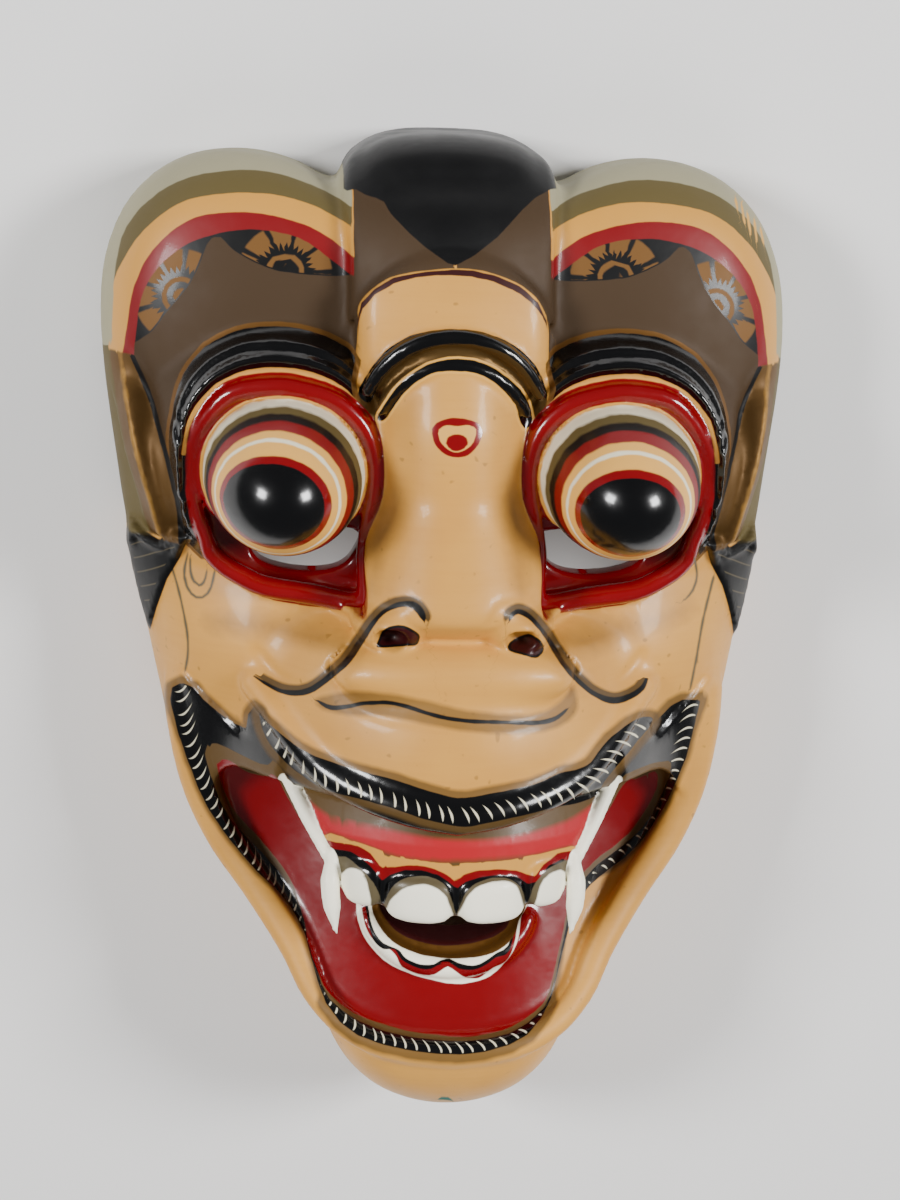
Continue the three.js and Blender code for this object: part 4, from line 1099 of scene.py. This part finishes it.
def paint_lobes(paint):
    low = 6 - paint.z
    paint.coat(np.maximum(paint.closed(BRONZE, left=True, round_off=False), low), "bronze", "matte")
    dark = paint.beyond(LEAF, [(352, 60), (20, 60), (20, 342)])
    paint.coat(dark, "black", "satin", hand=0.3)
    near = np.hypot(paint.left_u - FLOWERS[0][0], paint.left_v - FLOWERS[0][1])
    second = np.hypot(paint.left_u - FLOWERS[1][0], paint.left_v - FLOWERS[1][1])
    first = near < second
    centre_u = np.where(first, FLOWERS[0][0], FLOWERS[1][0])
    centre_v = np.where(first, FLOWERS[0][1], FLOWERS[1][1])
    angle = np.degrees(np.arctan2(centre_v - paint.left_v, paint.left_u - centre_u))
    reach = paint.field(np.minimum(near, second))
    turn = paint.field(np.where(first, angle, (angle - 46) % 360) / PETAL_PITCH + 20)

    def petal(nodes):
        at, far = nodes.read(turn), nodes.read(reach)
        off = nodes.math("ABSOLUTE", nodes.math("SUBTRACT", nodes.math("FRACT", at), 0.5))
        fringe = nodes.math("PINGPONG", nodes.math("MULTIPLY", at, 6.5), 1)
        start = nodes.math("MULTIPLY_ADD", fringe, 7, 22)
        start = nodes.math("MULTIPLY_ADD", nodes.math("MULTIPLY", off, off), 16, start)
        body = nodes.math("MULTIPLY", nodes.math("SUBTRACT", far, start), 0.6, clamp=True)
        body = nodes.math("MULTIPLY", body, nodes.math("MULTIPLY_ADD", off, -16, 7, clamp=True))
        return nodes.math("MULTIPLY", body, nodes.math("MULTIPLY_ADD", far, -0.5, 24, clamp=True))

    def rings(nodes):
        far = nodes.read(reach)
        ring = nodes.math("MULTIPLY_ADD", nodes.math("ABSOLUTE", nodes.math("SUBTRACT", far, 17)), -0.7, 2.2, clamp=True)
        return nodes.math("MAXIMUM", ring, nodes.math("MULTIPLY_ADD", far, -0.7, 6.3, clamp=True))

    paint.coat(dark + 0.4, "gold", "matte", pattern=petal)
    paint.coat(dark + 0.4, "gold", "matte", pattern=rings)
    upper = 40 - paint.y
    for line, colour, gloss in (
        (LOBE_DARK, "red", "satin"), (LOBE_RED, "yellow", "satin"), (LOBE_YELLOW, "olive", "matte"),
        (LOBE_OLIVE, "grey", "matte"),
    ):
        ends = [(352, 60), (20, 60), (20, line[0][1])]
        paint.coat(np.maximum(paint.beyond(line, ends), upper), colour, gloss, hand=0.4)


def paint_crown(paint):
    crown = np.maximum(paint.closed(CROWN, round_off=False), paint.x - 28.5)
    paint.coat(crown, "black", "satin", hand=0.3)
    # A yellow line along the cap's lower edge: gilt on the edge, and a painted highlight where that edge catches the
    # light.
    paint.draw([(u, v, 2) for u, v in CAP_LINE_TOP], "yellow", "leaf", shift=-1)
    cap_line = CAP_LINE_TOP + [(547, 345), (453, 300), (358, 345)]
    paint.coat(paint.closed(cap_line, round_off=False), "maroon", "satin")
    paint.coat(paint.closed(FOREHEAD, round_off=False), "cream", "satin")
    paint.coat(paint.closed(WRINKLE_TOP + [(545, 410), (532, 432), (380, 425), (358, 405)]), "shade", "metal")
    low = WRINKLE_LOW[:11] + [(534, 440), (450, 450), (372, 440)]
    paint.coat(paint.closed(low, round_off=False), "cream", "satin")
    paint.coat(paint.closed(WRINKLE_TOP + WRINKLE_TOP_INNER), "black", "enamel")
    paint.coat(paint.closed(WRINKLE_LOW) - 0.7, "tan", "satin")
    paint.coat(paint.closed(WRINKLE_LOW), "black", "enamel")
    paint.coat(paint.closed(THIRD_EYE), "red", "enamel")
    paint.coat(paint.closed(THIRD_EYE_WHITE), "tan", "satin")
    u, v, half_u, half_v = THIRD_EYE_DOT
    dot = (np.hypot((paint.u - u) / half_u, (paint.v - v) / half_v) - 1) * half_v * PIXEL
    paint.coat(np.where(paint.y > 40, dot, 9), "red", "enamel")


def paint_eyes(paint):
    away = np.hypot(paint.x - BROW_X, paint.y - BROW_Y)
    turn = np.degrees(np.arctan2(paint.y - BROW_Y, paint.x - BROW_X))
    inner, outer = around_eye(BROW_INNER, paint.x, paint.y), around_eye(BROW_OUTER, paint.x, paint.y)
    column = 25.6 - paint.x - 0.2 * np.abs(paint.y - 80)
    ends = np.maximum(-50 - turn, turn - 150) * 0.5
    front = 44 - paint.z
    rim = np.maximum.reduce([away - outer - 1.1, ends, front, column])
    paint.coat(rim, "gold", "leaf", strength=0.9)
    black = np.maximum.reduce([away - outer, ends, front, column + 1.5])
    paint.coat(black, "black", "enamel")
    sliver = np.maximum.reduce([away - inner, turn - 160, 60 - paint.y, front])
    paint.coat(sliver, "cream", "satin")
    lid = outline_distance(smooth_line(LID, closed=True, pieces=3)[:, :2], paint.x, paint.y)
    corner = 17.8 + np.maximum(0, 25.6 - paint.x) - paint.y
    red = np.maximum.reduce([np.minimum(paint.part("lid", 0.7), lid), 20 - paint.z, corner])
    paint.coat(red, "red", "enamel", hand=0.15)
    ball = paint.part("eyeball", 0.9)
    forward = np.sqrt(np.clip((paint.z - EYE_Z) / EYE_REACH, 0, 1))
    right = paint.places[:, 0] > 0
    side = np.where(right, 1, -1)
    across = (paint.places[:, 0] - side * EYE_X) / EYE_HALF_WIDTH
    drop = EYE_DROP * np.clip((paint.z - EYE_Z) / EYE_REACH, 0, 1)
    high = (paint.y - EYE_Y + drop) / EYE_HALF_HEIGHT
    shift_u, shift_v = np.where(right, -0.04, -0.12), np.where(right, -0.13, -0.03)
    for wide, tall, colour, gloss in EYE_BANDS:
        part = np.clip(2.2 * (1 - wide), 0, 1) if wide < 1 else 0
        away = np.hypot((across - shift_u * part) / wide, (high - shift_v * part) / tall)
        paint.coat(np.maximum((away - 1) * EYE_HALF_HEIGHT * wide, ball), colour, gloss, hand=0.4)


EYE_BANDS = [
    (1.3, 1.3, "yellow", "satin"), (1.0, 1.0, "white", "satin"), (0.965, 0.965, "olive", "matte"),
    (0.925, 0.925, "black", "satin"), (0.88, 0.88, "red", "satin"), (0.81, 0.81, "tan", "satin"),
    (0.76, 0.75, "white", "satin"), (0.735, 0.72, "tan", "satin"), (0.665, 0.6, "red", "enamel"),
    (0.6, 0.53, "black", "enamel"),
]


def paint_face(paint):
    behind = 60 - paint.z
    # Patina and painted shade in the grooves beside the bridge and the nose wings.
    for patch in PATINA_AND_SHADE:
        paint.coat(paint.closed(patch) + 1, "patina_and_shade", "satin", width=6, hand=3, strength=0.45)
    for line, side in ((WING_LEFT, 1), (WING_RIGHT, -1)):
        shade = [(u, v, min(4.5, 1.5 + 1.5 * w)) for u, v, w in line]
        paint.draw(shade, "shade", "satin", shift=4 * side, soft=0.8, limit=behind)
        paint.draw(line, "black", "satin", limit=behind)
    paint.coat(np.maximum(paint.closed(LIP_SHADE), behind), "shade", "satin", width=1.4, strength=0.7)
    paint.draw(LIP_DARK, "black", "satin", limit=behind)
    for nostril in (NOSTRIL_LEFT, NOSTRIL_RIGHT):
        inside = paint.closed(nostril)
        paint.coat(inside, "black", "satin")
        paint.coat(inside + 0.7, "maroon", "satin")
    for mark in OUTER_MARKS:
        paint.draw([(*place, 1.3) for place in mark], "dusk", "satin", soft=0.5)


def paint_jaws(paint):
    jaw = paint.closed(JAW_BLACK, round_off=False)
    low = 0.5 * smooth_step(735, 700, paint.v) + smooth_step(990, 1010, paint.v)
    hidden = smooth_step(562, 574, paint.u) * smooth_step(870, 890, paint.v)
    behind = 26 + 12 * smooth_step(-112, -122, paint.y) - paint.z
    outside = np.maximum(jaw - (3.5 + 5.5 * np.minimum(low * 1.4, 1)) * PIXEL + 3 * hidden, behind)
    jaw = np.maximum(jaw, behind)
    paint.coat(outside, "shade", "satin", width=1.2, strength=0.85)
    paint.coat(jaw, "black", "enamel", hand=0.3)
    inner = paint.closed(JAW_INNER, round_off=False)
    strokes = paint.strokes(JAW_LINE, 11, 5, 1.1, -0.95, 0.95, bend=4, band=8)
    paint.coat(np.maximum(jaw, -inner) + 0.4, "white", "satin", pattern=strokes)
    paint.coat(np.maximum(inner, behind), "shade", "satin", hand=0.3)
    paint.coat(np.maximum(paint.closed(JAW_RED), behind), "red", "enamel")
    # The last of these coats, maroon in the throat opening, is a painted shadow.
    for outline, colour, gloss in (
        (LOWER_CREAM, "tooth", "satin"), (LOWER_RED, "red", "enamel"), (LOWER_BLACK, "black", "enamel"),
        (LOWER_TEETH, "tooth", "satin"), (LOWER_GOLD, "gold", "metal"), (LOWER_HOLE_SHADOW, "maroon", "satin"),
    ):
        paint.coat(np.maximum(paint.closed(outline), 34 - paint.z), colour, gloss, hand=0.3)
    teeth = np.minimum.reduce([paint.part(name, 0.7) for name in paint.parts if name.startswith("tooth")])
    block = np.minimum(paint.part("block", 3), teeth)
    hair = paint.closed(MOUSTACHE)
    over = np.maximum(hair - 7.5 * PIXEL, 50 - paint.z)
    paint.coat(over, "shade", "satin", width=1.2, strength=0.85)
    # Brown over the upper jaw block; the gum coats cover it except just under the moustache, where it is a painted
    # shadow.
    paint.coat(block, "shade", "satin")
    paint.coat(np.maximum(paint.closed(PINK), block), "pink", "satin", width=1.6, hand=0.1)
    paint.coat(np.maximum(paint.closed(GUM_GOLD, round_off=False), block), "yellow", "satin")
    paint.coat(np.maximum(paint.closed(GUM_RED, round_off=False), block), "red", "enamel")
    paint.coat(np.maximum(paint.closed(GUM_BLACK, round_off=False), block), "black", "enamel")
    for outline in TOOTH_SHADE:
        paint.coat(np.maximum(paint.closed(outline), block), "dusk", "satin")
    for outline in TOOTH_WHITE:
        paint.coat(np.maximum(paint.closed(outline), block), "tooth", "satin", width=0.5)
    paint.coat(np.maximum(hair, 50 - paint.z), "black", "enamel", hand=0.3)
    strokes = paint.strokes(MOUSTACHE_LINE, 12, 9, 1.25, -0.75, 0.3, bend=6, band=15)
    paint.coat(np.maximum(hair + 0.5, 50 - paint.z), "white", "satin", pattern=strokes)
    paint.coat(np.minimum(paint.part("tusk", 0.6), paint.part("fang", 0.6)), "tooth", "satin")


def paint_wear(paint):
    for chip in CHIPS:
        paint.draw([(*place, 1.1) for place in chip], "tan", "dull")
    for speck in SPECKS:
        paint.draw(speck, "verdigris", "dull")


def paint_ears(paint):
    lock = outline_distance(LOCK, paint.x, paint.y)
    paint.coat(np.maximum(lock - 0.3, 12 - paint.z), "black", "satin", hand=0.1)
    turn = paint.field(paint.y * 0.45 + paint.x * 0.25)

    def ribs(nodes):
        return nodes.math("MULTIPLY_ADD", nodes.math("PINGPONG", nodes.read(turn), 1), 5, -4.2, clamp=True)

    paint.coat(lock + 2.2, "dusk", "satin", pattern=ribs)
    beside = np.interp(paint.y, *EAR_BESIDE) - paint.x
    ridge = np.interp(paint.y, *zip(*[(y, x) for x, y, _ in EAR_RIDGE[::-1]]))
    ends = np.abs(paint.y - 58.5) - 25.5
    paint.coat(np.maximum.reduce([ridge - paint.x, ends, 0.6 - paint.z]), "olive", "matte", width=1)
    ear = np.maximum.reduce([beside, ends, paint.x - ridge - 3.5])
    paint.coat(ear, "gilt", "leaf", width=0.6)
    # A faint lighter tan streak along the ear's ridge: a painted highlight.
    paint.coat(np.maximum(np.abs(paint.x - ridge) - 0.5, ends), "tan", "leaf", width=1, hand=1.5, strength=0.4)
    # A black line in the groove beside the ear: painted shadow in that gap.
    paint.coat(np.maximum(np.abs(beside) - 0.8, ends), "black", "matte")


def paint_mask(mask, places, wood):
    paint = Paint(mask.data, places, wood)
    half = places * (-1, 1, 1)
    half[places[:, 0] > 0] = places[places[:, 0] > 0]
    inside = sample(wood.inside, (wood.x, wood.y, wood.z), half)
    bare = np.minimum(inside - 1.2, paint.z - 0.4)
    paint.coat(-bare, "cream", "satin")
    for dress in (paint_lobes, paint_crown, paint_eyes, paint_face, paint_jaws, paint_ears, paint_wear):
        dress(paint)
    paint.coat(bare, "wood", "dull")
    mesh = mask.data
    middles = np.zeros(len(mesh.polygons) * 3, np.float32)
    mesh.polygons.foreach_get("center", middles)
    middles = middles.reshape(-1, 3) / MM
    starts = np.zeros(len(mesh.polygons), np.int32)
    sizes = np.zeros(len(mesh.polygons), np.int32)
    corners = np.zeros(len(mesh.loops), np.int32)
    mesh.polygons.foreach_get("loop_start", starts)
    mesh.polygons.foreach_get("loop_total", sizes)
    mesh.loops.foreach_get("vertex_index", corners)
    hidden = bare[corners[starts]] < -0.8
    column = np.clip((middles[:, 0] + 96) // ZONE_WIDTH, 0, 9).astype(int)
    row = np.clip((middles[:, 1] + 143) // ZONE_HEIGHT, 0, 19).astype(int)
    zones = np.where(hidden, 999, row * 10 + column)
    kinds = np.unique(zones)
    for number, kind in enumerate(kinds):
        used = np.zeros(len(places), bool)
        faces = zones == kind
        used[corners[np.repeat(faces, sizes)]] = True
        mesh.materials.append(paint.material(f"painted_wood_{number:02d}", used))
    mesh.polygons.foreach_set("material_index", np.searchsorted(kinds, zones).astype(np.int32))
    mesh.update()


def make_stage():
    bpy.ops.mesh.primitive_plane_add(size=6, location=(0, 0, -0.0002))
    floor = bpy.context.object
    floor.name = "floor"
    material = bpy.data.materials.new("pale_floor")
    material.use_nodes = True
    shader = material.node_tree.nodes["Principled BSDF"]
    shader.inputs["Base Color"].default_value = (0.78, 0.77, 0.76, 1)
    shader.inputs["Roughness"].default_value = 0.8
    floor.data.materials.append(material)
    world = bpy.data.worlds.new("studio")
    world.use_nodes = True
    world.node_tree.nodes["Background"].inputs["Color"].default_value = (0.95, 0.97, 1, 1)
    world.node_tree.nodes["Background"].inputs["Strength"].default_value = 0.16
    bpy.context.scene.world = world
    for name, place, aim, size, power in (
        ("left", (-0.95, 0.4, 0.95), (0, 0, 0.04), 0.35, 20),
        ("right", (0.95, 0.35, 0.9), (0, 0, 0.04), 0.35, 22),
        ("front", (0.1, -0.8, 1.1), (0, 0, 0.04), 0.8, 7),
        ("behind left eye", (-0.036, -0.004, 0.024), (-0.036, 0.02, 0), 0.016, 0.006),
        ("behind right eye", (0.038, -0.004, 0.024), (0.038, 0.02, 0), 0.016, 0.006),
    ):
        data = bpy.data.lights.new(name, "AREA")
        data.size = size
        data.energy = power
        light = bpy.data.objects.new(name, data)
        light.location = place
        light.rotation_euler = (Vector(aim) - Vector(place)).to_track_quat("-Z", "Y").to_euler()
        light.visible_glossy = name in ("left", "right")
        bpy.context.scene.collection.objects.link(light)


make_camera()
mask, places, wood = make_mask()
paint_mask(mask, places, wood)
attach(mask, "root")
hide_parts(NODE)
make_stage()
